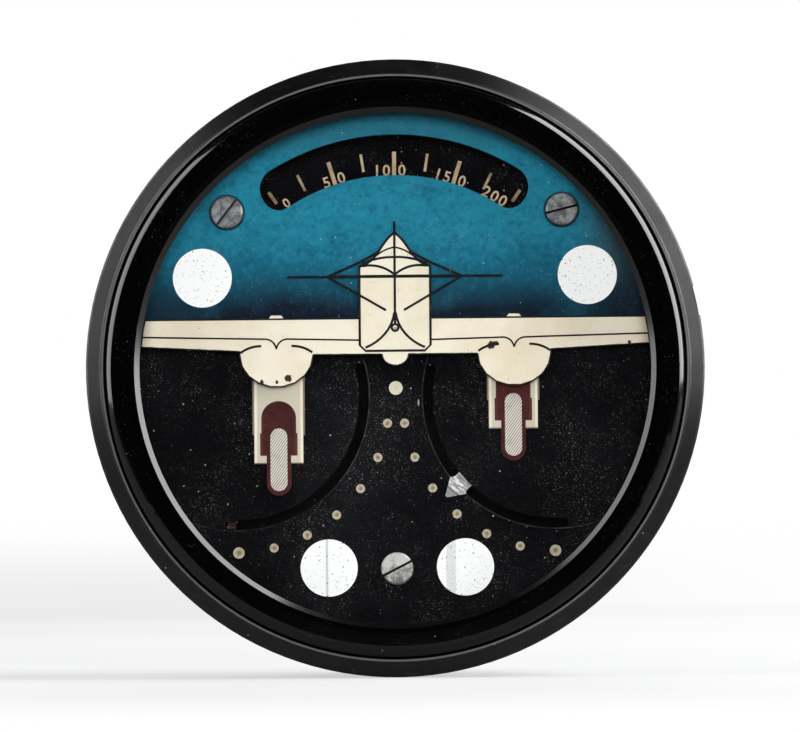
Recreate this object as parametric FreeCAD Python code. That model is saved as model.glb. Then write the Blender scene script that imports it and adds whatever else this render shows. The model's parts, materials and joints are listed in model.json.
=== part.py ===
import FreeCAD, Part
import math
import os

V = FreeCAD.Vector
REAR = V(0, 1, 0)

# Round panel instrument showing the position of two retractable wheels and
# the pressure that works them. The dial faces -Y, up is +Z, and Y = 0 is the
# back of the flange that rests on the panel. All lengths are millimetres.

# Case, a moulded barrel with a front flange
FLANGE_R = 65.0
FLANGE_EDGE = 0.4
FLANGE_FRONT = -8.0
FLANGE_BAND = 2.9
BEAD_WIDTH = 0.8
BEAD_FRONT = -9.3
PANEL_OVERHANG = 5.0
BARREL_R = FLANGE_R - PANEL_OVERHANG
BARREL_WALL = 2.8
BARREL_BORE_R = BARREL_R - BARREL_WALL
BARREL_REAR = 46.0
LEDGE_WIDTH = 2.7
BEAD_OUT_R = FLANGE_R - FLANGE_BAND
BEAD_IN_R = BEAD_OUT_R - BEAD_WIDTH
CHIP_BEARING = 78.0
CHIP_TILT = -14.0
CHIP_DEPTH = 0.5
CHIP_HALF = 3.2
CHIP_TALL = 3.5
BEAD_CHAMFER = 0.3
BEAD_ROOT = 0.7

# Screwed bezel ring that holds the glass
BEZEL_THREAD_GAP = 0.15
BEZEL_GROOVE = 0.3
BEZEL_R = BEAD_IN_R - BEZEL_GROOVE
BEZEL_CROWN = -11.0
BEZEL_ROLL = 2.6
BEZEL_WIDTH = 5.7
BEZEL_BEVEL = 1.4
BEZEL_LIP_R = BEZEL_R - BEZEL_WIDTH
BEZEL_HOLE_R = BEZEL_LIP_R - BEZEL_BEVEL
BEZEL_SEAT = -3.0
BEZEL_SKIRT = 3.9
BEZEL_EASE = 0.4
GLASS_EDGE_GAP = 0.1
GLASS_R = BEZEL_R - BEZEL_SKIRT - GLASS_EDGE_GAP
GLASS_THICK = 2.0
GASKET_THICK = 0.5
RING_WIDTH = 2.4
RING_IN_R = GLASS_R - RING_WIDTH

# Dial made of two plates with the wheel plates sliding between them
PLATE_EDGE_GAP = 0.1
PLATE_R = BARREL_BORE_R - PLATE_EDGE_GAP
LEDGE_R = BARREL_BORE_R - LEDGE_WIDTH
UPPER_FRONT = 0.3
PLATE_THICK = 1.2
PLATE_GAP = 1.2
RELIEF_THICK = 0.35
RING_STEP_Z = 2.2

# Wheel drives, one on each side of the dial
DRIVE_INSET = 20.85
DRIVE_X = RING_IN_R - DRIVE_INSET
DRIVE_Z = -5.8
GEAR_MODULE = 0.5
GEAR_TEETH = 34
GEAR_ANGLE = 20.0
GEAR_BACKLASH = 0.08
PITCH_R = 0.5 * GEAR_MODULE * GEAR_TEETH
TOOTH_TIP = 0.85
TOOTH_ROOT = 1.15
WHEEL_X = DRIVE_X - PITCH_R - 0.35

# Pressure scale window, centred on the dial
WINDOW_EDGE = 4.6
WINDOW_OUT_R = RING_IN_R - WINDOW_EDGE
WINDOW_TALL = 8.7
WINDOW_IN_R = WINDOW_OUT_R - WINDOW_TALL
WINDOW_HALF_ANGLE = 37.6
WINDOW_OUT_CORNER = 0.52 * WINDOW_TALL
WINDOW_IN_CORNER = 0.39 * WINDOW_TALL
WINDOW_BACK_GROW = 0.6
SCALE_REACH = 4.4
SCALE_HALF_ANGLE = 35.0
NEEDLE_REST = -42.0
SCALE_FRONT = 6.2
SCALE_THICK = 0.8
SCALE_MARGIN = 2.0
SCALE_MARKS = 9
SCALE_POST_R = 2.0
TICK_OUT_R = WINDOW_OUT_R - 3.1
TICK_LONG = (5.4, 0.85)
TICK_MIDDLE = (3.8, 0.55)
TICK_END = (3.0, 0.7)
MARK_THICK = 0.1

# Aircraft seen from the front, painted on the upper plate
LINE_RAISE = 0.06
LINE_WIDTH = 0.5
WING_TOP = 10.8
WING_LOW_ROOT = 3.2
WING_LOW_TIP = 5.7
WING_FLARE = 0.8
WING_LINE = 6.2
WING_LINE_RISE = 0.021
WING_END_R = RING_IN_R - 0.5
NACELLE_X = WHEEL_X + 0.3
NACELLE_HALF = 7.75
NACELLE_DEPTH = 6.8
HULL_HALF = 7.5
DOME_POINTS = ((0.0, 29.0), (2.3, 26.6), (4.2, 23.9), (7.5, 21.8))
CHEST_POINTS = ((0.15, 12.0), (1.35, 8.6), (3.4, 6.3), (6.3, 4.6))
DIP_POINTS = ((2.2, 0.0), (0.8, -0.6), (0.0, -2.1))
EAR_POINTS = ((7.6, 3.7), (6.0, 4.6), (3.2, 5.1))
BROW_POINTS = ((0.2, 20.2), (1.5, 21.1), (3.7, 21.9), (6.8, 21.9))
CREST_POINTS = ((0.0, 23.8), (3.5, 23.5), (6.9, 22.4))
CAP_POINTS = ((0.0, 25.9), (2.2, 25.2), (4.1, 23.9))
CURVE_STEPS = 9
BULGE_HALF = 2.8
BULGE_DEPTH = 2.4
STRUT_X = 14.3
STRUT_FOOT = (1.9, 12.5)
TAIL_TIP_X = 22.8
TAIL_Z = 19.7
MAST_TOP = WINDOW_IN_R - 9.9
NOSE_Z = 8.8
NOSE_R = 0.95
HULL_FLOOR = 3.9
HULL_CORNER = 1.2
HUMP_HALF = 2.2
HUMP_HEIGHT = 0.9

# Signal lamps
UPPER_LAMP_BEARING = 64.25
UPPER_LAMP_PCD_R = RING_IN_R - 9.25
UPPER_LAMP_R = 6.27
LOWER_LAMP_BEARING = 161.0
LOWER_LAMP_PCD_R = RING_IN_R - 10.2
LOWER_LAMP_R = 6.07
LENS_FLANGE = 0.9
LAMP_BACK_STEP = 0.6
SHROUD_WALL = 0.7
BULB_R = 3.0
BULB_LONG = 4.4
BULB_SEAT = 1.0
BULB_NOSE = 2.4
BULB_CAP = 0.9
SOCKET_R = 4.5
SOCKET_LONG = 8.0
SOCKET_FLANGE = 1.2

# Dial screws with slotted heads
SCREW_HEAD_R = 3.5
SCREW_HEAD_THICK = 1.5
SCREW_SHANK_R = 2.0
SCREW_CLEARANCE = 0.1
HEAD_CHAMFER_SHARE = 0.12
SLOT_SHARE = 0.075
SLOT_DEPTH_SHARE = 0.6
SCREW_END_GAP = 1.5
UPPER_SCREW_BEARING = 46.6
UPPER_SCREW_PCD_R = RING_IN_R - 5.7
LOWER_SCREW_EDGE = 12.4
LOWER_SCREW = (0.0, LOWER_SCREW_EDGE - RING_IN_R)
SCREW_SLOT_TILT = {"left": 52.0, "right": 14.0, "low": 27.0}

# Drive shafts, pointers and the slots they show through
SHAFT_R = 3.0
SHAFT_END_R = 2.0
SHAFT_CHAMFER = 0.4
SHAFT_FRONT = 4.1
SHAFT_REAR = 61.0
GLAND_THICK = 2.5
RUNNING_GAP = 0.05
BUSH_R = 4.5
TRACK_INSET = 6.75
TRACK_R = DRIVE_X - TRACK_INSET
TRACK_WIDTH = 2.1
TRACK_TOP = 13.0
TRACK_END = 93.6
ARM_FRONT = 4.3
ARM_THICK = 0.6
ARM_HALF_WIDTH = 1.4
TIP_FRONT = 1.9
TIP_THICK = 0.5
TIP_END_R = TRACK_R + 4.5
TIP_BASE_R = TRACK_R + 1.0
TIP_HALF_WIDTH = 2.45
TIP_POINT_HALF = 0.25
NECK_HALF = 1.95
NECK_R = TRACK_R + 0.5
NECK_THICK = 0.6
NECK_BEND = 0.4
STUB_HALF = 0.85
HUB_R = 4.4
PINION_HUB_R = 4.6
PINION_HUB_LONG = 1.4
PINION_RIM = 1.5
PINION_SPARE_TEETH = 2
LEFT_POINTER_REST = 92.9
RIGHT_POINTER_REST = 42.4
TRAVEL_90 = 0.5 * math.pi * PITCH_R
RIGHT_RAISE = TRAVEL_90 * (90.0 - RIGHT_POINTER_REST) / 90.0

# Luminous dots in two arcs that meet under the hull
DOT_CENTRE_X = DRIVE_X + 0.35
DOT_CENTRE_Z = DRIVE_Z - 0.1
DOT_R = TRACK_R + 5.75
DOT_START = 86.4
DOT_STEP = 13.24
DOT_COUNT = 7
DOT_SMALL_R = 0.95
DOT_END_R = 1.2
DOT_TOP_R = 1.45
DOT_TOP_Z = -3.9
DOT_RAISE = 0.15

# Wheel plates
LEG_FRONT = 1.7
LEG_THICK = 0.8
LEG_TOP = 7.0
LEG_HALF = 5.55
LEG_FOOT_HALF = 5.2
LEG_STEP = -13.7
LEG_BOTTOM = -19.8
ARCH_TOP = -6.5
ARCH_HALF = 3.7
ARCH_FOOT_HALF = 3.97
ARCH_BOTTOM = -18.1
TYRE_HALF = 1.8
TYRE_TOP = -12.3
TYRE_BOTTOM = -25.6
WHEEL_RIM = 0.8

# Racks behind the lower dial plate
RACK_FRONT = 5.5
RACK_REAR = 8.0
RACK_BACK_X = DRIVE_X - 12.15
RACK_TOP = 7.0
RACK_BOTTOM = -22.5
RACK_PLAIN = 1.0
RACK_SPARE = 6.5
GUIDE_WALL = 2.6
GUIDE_LIP = 2.0
GUIDE_ENDS = (-12.0, 7.0)
STUD_X = RACK_BACK_X + 1.4
STUD_R = 1.1
STUD_Z = (1.0, 5.0)
STUD_SLOT_GAP = 0.3

# Movement plates
MOVEMENT_FRONT = 10.0
MOVEMENT_THICK = 2.0
BACK_PLATE_FRONT = 34.0
BACK_PLATE_R = BARREL_BORE_R - 11.2
PILLAR_R = 3.0
PILLAR_PCD_R = BACK_PLATE_R - 7.0
PILLAR_BEARINGS = (40.0, 140.0, 220.0, 320.0)
SMALL_SCREW_R = 1.5
SMALL_HEAD_R = 2.6
SMALL_HEAD_THICK = 1.2
PILLAR_SCREW_LONG = 6.0
FRONT_SCREW_R = 1.0
FRONT_SCREW_PCD_R = LEDGE_R + 1.2
FRONT_SCREW_BEARINGS = (90.0, 210.0, 330.0)
FRONT_SCREW_LONG = 4.0
FRONT_HEAD_R = 1.5
FRONT_HEAD_THICK = 1.0
LAMP_OPENING_R = 6.0

# Pressure gauge works
GAUGE_MODULE = 0.4
GAUGE_PINION_TEETH = 14
GAUGE_SECTOR_TEETH = 70
GAUGE_ANGLE = 25.0
GAUGE_ARBOR_R = 1.2
GAUGE_ARBOR_FRONT = 4.3
SECTOR_FRONT = 14.0
SECTOR_THICK = 1.6
SECTOR_TAIL = 12.0
SECTOR_HUB_R = 3.0
SECTOR_RIM = 1.6
SECTOR_SPOKE = (-10.0, 24.0)
PIN_EYE_R = 1.8
LINK_PIN_R = 0.8
LINK_PIN_GAP = 0.1
LINK_FRONT = 16.0
LINK_THICK = 1.0
LINK_TURN = 1.5
LINK_WALL = 0.9
BRIDGE_FRONT = 18.4
BRIDGE_THICK = 1.6
BRIDGE_HALF = 4.0
BRIDGE_POST_R = 2.2
BRIDGE_PAST = 6.7
NEEDLE_FRONT = 4.6
NEEDLE_THICK = 0.5
NEEDLE_TIP_R = WINDOW_OUT_R - 5.4
NEEDLE_TAIL = 5.0
NEEDLE_HALF = 1.0
NEEDLE_POINT_HALF = 0.28
NEEDLE_HUB_R = 2.6
SPRING_FRONT = 16.8
SPRING_TALL = 0.6
SPRING_THICK = 0.22
SPRING_IN_R = 1.7
SPRING_OUT_R = 5.3
SPRING_TURNS = 3
SPRING_STEPS = 14
BOURDON_R = DRIVE_X - 9.75
BOURDON_SECTION = 3.0
BOURDON_CORNER = 0.4 * BOURDON_SECTION
BOURDON_SWEEP = 262.0
BOURDON_FRONT = 21.0
BOURDON_REAR = 30.0
END_WALL = 0.4
END_TALL = 3.5
END_ARM = 1.6
PORT_X = 0.0
PORT_Z = -BOURDON_R
PORT_R = 5.0
PORT_BORE_R = 2.0
PORT_REAR = 64.0
UNION_SEAT_HALF = 5.0
UNION_HEX_ACROSS = 14.0
UNION_HEX_THICK = 4.0

# Rear cover and its fittings
COVER_INSET = 0.4
COVER_EDGE = 1.0
COVER_R = BARREL_R - COVER_INSET
COVER_THICK = 3.0
COVER_GASKET = 0.6
CLAMP_STUD_R = 2.0
CLAMP_ROOT_R = 3.0
CLAMP_HEAD_R = 4.5
CLAMP_HEAD_THICK = 1.5
CLAMP_NUT_ACROSS = 9.0
CLAMP_NUT_THICK = 3.2
CLAMP_PCD_R = BARREL_R - 16.0
CLAMP_STUD_REAR = 64.0
CLAMP_BEARINGS = (0.0, 120.0, 240.0)
COVER_SCREW_BEARINGS = (45.0, 135.0, 225.0, 315.0)
COVER_SCREW_PCD_R = BARREL_BORE_R - 2.7
COVER_BOSS_R = 4.2
COVER_BOSS_LONG = 12.0
COVER_SCREW_LONG = 8.0
TERMINAL_X = (-9.0, -3.0, 3.0, 9.0)
TERMINAL_Z = COVER_R - 29.6
TERMINAL_HALF = (13.0, 6.0)
TERMINAL_DEEP = 7.0
TERMINAL_FIN = 2.0
TERMINAL_FIN_HALF = 0.6
TERMINAL_SCREW_R = 2.0
GLAND_R = 7.0
GLAND_NECK_R = 5.2

LOWER_FRONT = UPPER_FRONT + PLATE_THICK + PLATE_GAP
LOWER_REAR = LOWER_FRONT + PLATE_THICK
UPPER_REAR = UPPER_FRONT + PLATE_THICK
RELIEF_FRONT = UPPER_FRONT - RELIEF_THICK
SECTOR_PITCH_R = 0.5 * GAUGE_MODULE * GAUGE_SECTOR_TEETH
PINION_PITCH_R = 0.5 * GAUGE_MODULE * GAUGE_PINION_TEETH
SECTOR_Z = -(SECTOR_PITCH_R + PINION_PITCH_R)
NEEDLE_SWING = SCALE_HALF_ANGLE - NEEDLE_REST
SECTOR_SWING = NEEDLE_SWING * GAUGE_PINION_TEETH / GAUGE_SECTOR_TEETH
COVER_FRONT = BARREL_REAR + COVER_GASKET
COVER_REAR = COVER_FRONT + COVER_THICK
GASKET_REAR = BEZEL_SEAT
GASKET_FRONT = BEZEL_SEAT - GASKET_THICK
GLASS_FRONT = GASKET_FRONT - GLASS_THICK


def polar(radius, bearing, x=0.0, z=0.0):
    """Point at a clockwise bearing from the top, seen from the front."""
    angle = math.radians(bearing)
    return (x + radius * math.sin(angle), z + radius * math.cos(angle))


def disc(radius, y0, y1, x=0.0, z=0.0):
    return Part.makeCylinder(radius, y1 - y0, V(x, y0, z), REAR)


def ring(outer, inner, y0, y1, x=0.0, z=0.0):
    return disc(outer, y0, y1, x, z).cut(disc(inner, y0, y1, x, z))


def block(x0, x1, y0, y1, z0, z1):
    return Part.makeBox(x1 - x0, y1 - y0, z1 - z0, V(x0, y0, z0))


def lathe(profile, x=0.0, z=0.0):
    """Turn a closed list of (radius, y) points about an axis along Y."""
    points = [V(r, y, 0) for r, y in profile]
    points.append(points[0])
    solid = Part.Face(Part.makePolygon(points)).revolve(V(0, 0, 0), REAR, 360)
    solid.translate(V(x, 0, z))
    return solid


def slab(outline, y0, y1):
    """Straight-sided plate from a closed list of (x, z) points."""
    points = [V(x, y0, z) for x, z in outline]
    points.append(points[0])
    return Part.Face(Part.makePolygon(points)).extrude(V(0, y1 - y0, 0))


def band(inner, outer, start, end, y0, y1, x=0.0, z=0.0):
    """Plate bounded by two arcs and two radial ends."""
    middle = 0.5 * (start + end)

    def at(radius, bearing):
        px, pz = polar(radius, bearing, x, z)
        return V(px, y0, pz)

    edges = [
        Part.Arc(at(outer, start), at(outer, middle), at(outer, end)).toShape(),
        Part.makeLine(at(outer, end), at(inner, end)),
        Part.Arc(at(inner, end), at(inner, middle), at(inner, start)).toShape(),
        Part.makeLine(at(inner, start), at(outer, start)),
    ]
    return Part.Face(Part.Wire(edges)).extrude(V(0, y1 - y0, 0))


def stroke(a, b, width, y0, y1):
    """Flat bar between two (x, z) points."""
    dx, dz = b[0] - a[0], b[1] - a[1]
    length = math.hypot(dx, dz)
    nx, nz = -0.5 * width * dz / length, 0.5 * width * dx / length
    corners = [
        (a[0] + nx, a[1] + nz),
        (b[0] + nx, b[1] + nz),
        (b[0] - nx, b[1] - nz),
        (a[0] - nx, a[1] - nz),
    ]
    return slab(corners, y0, y1)


def path(points, width, y0, y1):
    """Bar of even width along a line of (x, z) points."""
    left, right = [], []
    for i, (x, z) in enumerate(points):
        x0, z0 = points[max(i - 1, 0)]
        x1, z1 = points[min(i + 1, len(points) - 1)]
        length = math.hypot(x1 - x0, z1 - z0)
        nx, nz = -(z1 - z0) / length, (x1 - x0) / length
        left.append((x + 0.5 * width * nx, z + 0.5 * width * nz))
        right.append((x - 0.5 * width * nx, z - 0.5 * width * nz))
    return slab(left + right[::-1], y0, y1)


def pill(x, half, top, bottom, y0, y1):
    """Upright plate with a half-round top and bottom."""
    body = block(x - half, x + half, y0, y1, bottom + half, top - half)
    body = body.fuse(disc(half, y0, y1, x, top - half))
    return body.fuse(disc(half, y0, y1, x, bottom + half)).removeSplitter()


def hexagon(across, y0, y1, x=0.0, z=0.0):
    corner = across / math.sqrt(3)
    return slab([polar(corner, 30 + 60 * i, x, z) for i in range(6)], y0, y1)


def joined(shapes):
    solid = shapes[0]
    for shape in shapes[1:]:
        solid = solid.fuse(shape)
    return solid.removeSplitter()


def without(solid, cutters):
    for cutter in cutters:
        solid = solid.cut(cutter)
    return solid


def turned(shape, degrees, x=0.0, z=0.0):
    """Clockwise turn seen from the front."""
    shape.rotate(V(x, 0, z), REAR, degrees)
    return shape


def slotted_screw(spot, head_front, head_r, head_thick, shank_r, shank_end, tilt):
    """Round head facing -Y, with a shank towards +Y."""
    x, z = spot
    head = disc(head_r, head_front, head_front + head_thick, x, z)
    rim = [e for e in head.Edges if abs(e.BoundBox.YMax - head_front) < 1e-6 and e.Length > 1]
    head = head.makeChamfer(HEAD_CHAMFER_SHARE * head_r, rim[:1])
    slot = block(x - head_r, x + head_r, head_front, head_front + SLOT_DEPTH_SHARE * head_thick,
                 z - SLOT_SHARE * head_r, z + SLOT_SHARE * head_r)
    head = head.cut(turned(slot, -tilt, x, z))
    return head.fuse(disc(shank_r, head_front + head_thick, shank_end, x, z))


def rear_screw(spot, head_rear, shank_r, head_r, head_thick, shank_front):
    """Round head facing +Y, with a shank towards -Y."""
    x, z = spot
    head = disc(head_r, head_rear - head_thick, head_rear, x, z)
    slot = block(x - head_r, x + head_r, head_rear - 0.5 * head_thick, head_rear + 1,
                 z - 0.15 * head_r, z + 0.15 * head_r)
    head = head.cut(turned(slot, 30 + 2 * x, x, z))
    return head.fuse(disc(shank_r, shank_front, head_rear - head_thick, x, z))


def involute(angle):
    return math.tan(angle) - angle


def gear(module, teeth, pressure_deg, towards, first, last, y0, y1, gap_at_mesh, x, z):
    """Gear with a tooth, or a gap, on the bearing it meshes at."""
    pressure = math.radians(pressure_deg)
    pitch = 0.5 * module * teeth
    base = pitch * math.cos(pressure)
    tip = pitch + TOOTH_TIP * module
    root = pitch - TOOTH_ROOT * module
    half_pitch = (0.25 * math.pi * module - 0.5 * GEAR_BACKLASH) / pitch
    step = 360.0 / teeth
    offset = 0.5 if gap_at_mesh else 0.0

    def half_angle(radius):
        if radius <= base:
            return math.degrees(half_pitch + involute(pressure))
        grown = involute(math.acos(base / radius))
        return math.degrees(half_pitch + involute(pressure) - grown)

    outline = []
    for k in range(first, last + 1):
        centre = towards + (k + offset) * step
        for radius in (root, pitch, tip):
            outline.append(polar(radius, centre - half_angle(radius), x, z))
        for radius in (tip, pitch, root):
            outline.append(polar(radius, centre + half_angle(radius), x, z))
    if last - first + 1 < teeth:
        outline.append((x, z))
    return slab(outline, y0, y1), root


def save(name, shape):
    solids = shape.Solids
    out = solids[0] if len(solids) == 1 else Part.makeCompound(solids)
    out.exportStep(os.path.join("parts", name + ".step"))


def wheel_sides():
    """Side name, sign of x, and how far each wheel plate is raised."""
    return (("left", -1, 0.0), ("right", 1, RIGHT_RAISE))


# Case and glazing


def make_case():
    inner = BARREL_BORE_R
    bore = BEZEL_R + BEZEL_THREAD_GAP
    profile = [
        (bore, BEAD_FRONT + BEAD_CHAMFER),
        (BEAD_IN_R, BEAD_FRONT),
        (BEAD_OUT_R - BEAD_CHAMFER, BEAD_FRONT),
        (BEAD_OUT_R, BEAD_FRONT + BEAD_CHAMFER),
        (BEAD_OUT_R, FLANGE_FRONT - BEAD_ROOT),
        (FLANGE_R - FLANGE_EDGE, FLANGE_FRONT),
        (FLANGE_R, FLANGE_FRONT + FLANGE_EDGE),
        (FLANGE_R, -FLANGE_EDGE),
        (FLANGE_R - FLANGE_EDGE, 0),
        (BARREL_R, 0),
        (BARREL_R, BARREL_REAR),
        (inner, BARREL_REAR),
        (inner, MOVEMENT_FRONT),
        (LEDGE_R, MOVEMENT_FRONT),
        (LEDGE_R, LOWER_REAR),
        (inner, LOWER_REAR),
        (inner, BEZEL_SEAT),
        (bore, BEZEL_SEAT),
    ]
    case = lathe(profile)
    bosses = []
    for x, z in cover_screw_spots():
        boss = disc(COVER_BOSS_R, BARREL_REAR - COVER_BOSS_LONG, BARREL_REAR, x, z)
        bosses.append(boss.common(disc(BARREL_R - 0.5 * BARREL_WALL, 0, BARREL_REAR)))
    case = joined([case] + bosses)
    for x, z in cover_screw_spots():
        case = case.cut(disc(SMALL_SCREW_R, BARREL_REAR - COVER_SCREW_LONG, BARREL_REAR, x, z))
    for x, z in front_screw_spots():
        case = case.cut(disc(FRONT_SCREW_R, MOVEMENT_FRONT - FRONT_SCREW_LONG, MOVEMENT_FRONT,
                             x, z))
    # A flake is missing from the flange edge beside the right wing.
    x, z = polar(FLANGE_R, CHIP_BEARING)
    chip = block(-CHIP_DEPTH, CHIP_DEPTH + 1, BEAD_FRONT, FLANGE_FRONT + CHIP_TALL,
                 -CHIP_HALF, CHIP_HALF)
    chip.rotate(V(0, 0, 0), REAR, CHIP_TILT)
    chip.translate(V(x, 0, z))
    return case.cut(chip)


def make_bezel():
    roll = BEZEL_ROLL
    bend = roll * math.sqrt(0.5)
    glass_wall = GLASS_R + GLASS_EDGE_GAP
    start = V(BEZEL_LIP_R + BEZEL_EASE, BEZEL_CROWN, 0)
    crown = V(BEZEL_R - roll, BEZEL_CROWN, 0)
    middle = V(BEZEL_R - roll + bend, BEZEL_CROWN + roll - bend, 0)
    side = V(BEZEL_R, BEZEL_CROWN + roll, 0)
    corners = [side, V(BEZEL_R, BEZEL_SEAT, 0), V(glass_wall, BEZEL_SEAT, 0),
               V(glass_wall, GLASS_FRONT, 0), V(BEZEL_HOLE_R, GLASS_FRONT, 0),
               V(BEZEL_LIP_R, BEZEL_CROWN + BEZEL_EASE, 0), start, crown]
    edges = [Part.Arc(crown, middle, side).toShape()]
    for a, b in zip(corners, corners[1:]):
        edges.append(Part.makeLine(a, b))
    return Part.Face(Part.Wire(edges)).revolve(V(0, 0, 0), REAR, 360)


def make_spacer_ring():
    full = ring(GLASS_R, RING_IN_R, GASKET_REAR, UPPER_FRONT)
    deep = ring(GLASS_R, RING_IN_R, UPPER_FRONT, LOWER_FRONT)
    deep = deep.cut(block(-FLANGE_R, FLANGE_R, UPPER_FRONT, LOWER_FRONT,
                          RING_STEP_Z, FLANGE_R))
    return joined([full, deep])


# Dial artwork outlines


def ellipse_dip(x, half, top, depth):
    """Points of a half ellipse hanging below a level."""
    points = []
    for i in range(CURVE_STEPS + 1):
        angle = math.pi * (1 - i / CURVE_STEPS)
        points.append((x + half * math.cos(angle), top - depth * math.sin(angle)))
    return points


def smooth(points):
    """Points of a smooth curve through a few (x, z) points."""
    curve = Part.BSplineCurve()
    curve.interpolate([V(x, 0, z) for x, z in points])
    return [(p.x, p.z) for p in curve.discretize(CURVE_STEPS)]


def wing_underside():
    edge = [(-FLANGE_R, WING_LOW_TIP), (-NACELLE_X - NACELLE_HALF, WING_LOW_ROOT + WING_FLARE)]
    edge += ellipse_dip(-NACELLE_X, NACELLE_HALF, WING_LOW_ROOT, NACELLE_DEPTH)
    edge += ellipse_dip(0, BULGE_HALF, WING_LOW_ROOT, BULGE_DEPTH)
    edge += ellipse_dip(NACELLE_X, NACELLE_HALF, WING_LOW_ROOT, NACELLE_DEPTH)
    edge += [(NACELLE_X + NACELLE_HALF, WING_LOW_ROOT + WING_FLARE), (FLANGE_R, WING_LOW_TIP)]
    return edge


def make_upper_plate():
    outline = wing_underside() + [(FLANGE_R, FLANGE_R), (-FLANGE_R, FLANGE_R)]
    plate = slab(outline, UPPER_FRONT, UPPER_REAR).common(disc(PLATE_R, UPPER_FRONT, UPPER_REAR))
    cutters = [window(0.0, UPPER_FRONT, UPPER_REAR)]
    for side in (-1, 1):
        x, z = polar(UPPER_LAMP_PCD_R, side * UPPER_LAMP_BEARING)
        cutters.append(disc(UPPER_LAMP_R, UPPER_FRONT, UPPER_REAR, x, z))
        x, z = polar(UPPER_SCREW_PCD_R, side * UPPER_SCREW_BEARING)
        hole = SCREW_SHANK_R + SCREW_CLEARANCE
        cutters.append(disc(hole, UPPER_FRONT, UPPER_REAR, x, z))
    return without(plate, cutters)


def window(grow, y0, y1):
    angle = WINDOW_HALF_ANGLE + math.degrees(grow / WINDOW_IN_R)
    opening = band(WINDOW_IN_R - grow, WINDOW_OUT_R + grow, -angle, angle, y0, y1)
    corners = [e for e in opening.Edges if abs(e.BoundBox.YLength - (y1 - y0)) < 1e-6]
    middle = 0.5 * (WINDOW_IN_R + WINDOW_OUT_R)
    outer = [e for e in corners if math.hypot(e.BoundBox.XMin, e.BoundBox.ZMin) > middle]
    opening = opening.makeFillet(WINDOW_OUT_CORNER, outer)
    inner = [e for e in opening.Edges if abs(e.BoundBox.YLength - (y1 - y0)) < 1e-6
             and math.hypot(e.BoundBox.XMin, e.BoundBox.ZMin) < WINDOW_IN_R - grow + 0.1]
    return opening.makeFillet(WINDOW_IN_CORNER, inner)


def make_relief():
    outline = wing_underside() + [(FLANGE_R, WING_TOP), (-FLANGE_R, WING_TOP)]
    wing = slab(outline, RELIEF_FRONT, UPPER_FRONT)
    wing = wing.common(disc(WING_END_R, RELIEF_FRONT, UPPER_FRONT))
    right = smooth(DOME_POINTS) + [(HULL_HALF, WING_LOW_ROOT)]
    left = [(-x, z) for x, z in right[:0:-1]]
    shapes = [wing, slab(right + left, RELIEF_FRONT, UPPER_FRONT)]
    for side in (-1, 1):
        x = side * NACELLE_X
        foot, crest = WING_TOP - 0.5 * HUMP_HEIGHT, WING_TOP + HUMP_HEIGHT
        hump = [(x - HUMP_HALF, foot), (x - 0.5 * HUMP_HALF, crest),
                (x + 0.5 * HUMP_HALF, crest), (x + HUMP_HALF, foot)]
        shapes.append(slab(hump, RELIEF_FRONT, UPPER_FRONT))
    return joined(shapes)


def wing_line_z(x):
    return WING_LINE + WING_LINE_RISE * (x - HULL_HALF)


def side_lines():
    """Painted lines on the right half, each a list of points and a width."""
    heavy, light = LINE_WIDTH, 0.7 * LINE_WIDTH
    corner_x, corner_z = HULL_HALF - HULL_CORNER, HULL_FLOOR + HULL_CORNER
    hull_top = DOME_POINTS[-1][1] + 0.5 * heavy
    lines = [
        ([(HULL_HALF, hull_top), (HULL_HALF, corner_z), (corner_x, HULL_FLOOR),
          (0, HULL_FLOOR)], heavy),
        ([(HULL_HALF, WING_TOP), (WING_END_R, WING_TOP)], light),
        ([(STRUT_X, TAIL_Z), (HULL_HALF, 22.7), (3.5, 24.9)], heavy),
        ([(STRUT_X, TAIL_Z), STRUT_FOOT], heavy),
        ([(STRUT_X, TAIL_Z), (TAIL_TIP_X, TAIL_Z)], heavy),
        (smooth(DOME_POINTS), heavy),
        (smooth(CHEST_POINTS), heavy),
        (smooth(BROW_POINTS), heavy),
        (smooth(CREST_POINTS), heavy),
        (smooth(CAP_POINTS), light),
    ]
    ends = {-1: HULL_HALF, 1: WING_END_R}
    for way, end in ends.items():
        ear = [(NACELLE_X + way * x, z) for x, z in EAR_POINTS]
        dip = [(NACELLE_X + way * x, wing_line_z(NACELLE_X) + z) for x, z in DIP_POINTS]
        lines.append((smooth(ear), heavy))
        lines.append(([(end, wing_line_z(end))] + smooth(dip), light))
    return lines


def line_solids(y0, y1):
    lines = []
    for side in (-1, 1):
        for points, width in side_lines():
            lines.append(path([(side * x, z) for x, z in points], width, y0, y1))
    lines.append(path([(-STRUT_X, TAIL_Z), (STRUT_X, TAIL_Z)], 1.3 * LINE_WIDTH, y0, y1))
    lines.append(path([(0, NOSE_Z + 0.75 * NOSE_R), (0, MAST_TOP)], LINE_WIDTH, y0, y1))
    lines.append(ring(NOSE_R, 0.5 * NOSE_R, y0, y1, 0, NOSE_Z))
    return lines


def make_linework(relief):
    front = RELIEF_FRONT - LINE_RAISE
    lines = joined(line_solids(front, UPPER_FRONT))
    return lines.common(disc(WING_END_R, front, UPPER_FRONT)).cut(relief)


def track(side, y0, y1):
    """Curved slot the bent pointer tip travels in."""
    x = side * DRIVE_X
    start = -side * (90 - TRACK_TOP)
    end = -side * (90 + TRACK_END)
    low, high = min(start, end), max(start, end)
    inner, outer = TRACK_R - 0.5 * TRACK_WIDTH, TRACK_R + 0.5 * TRACK_WIDTH
    slot = band(inner, outer, low, high, y0, y1, x, DRIVE_Z)
    for bearing in (low, high):
        px, pz = polar(TRACK_R, bearing, x, DRIVE_Z)
        slot = slot.fuse(disc(0.5 * TRACK_WIDTH, y0, y1, px, pz))
    return slot.removeSplitter()


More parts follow.
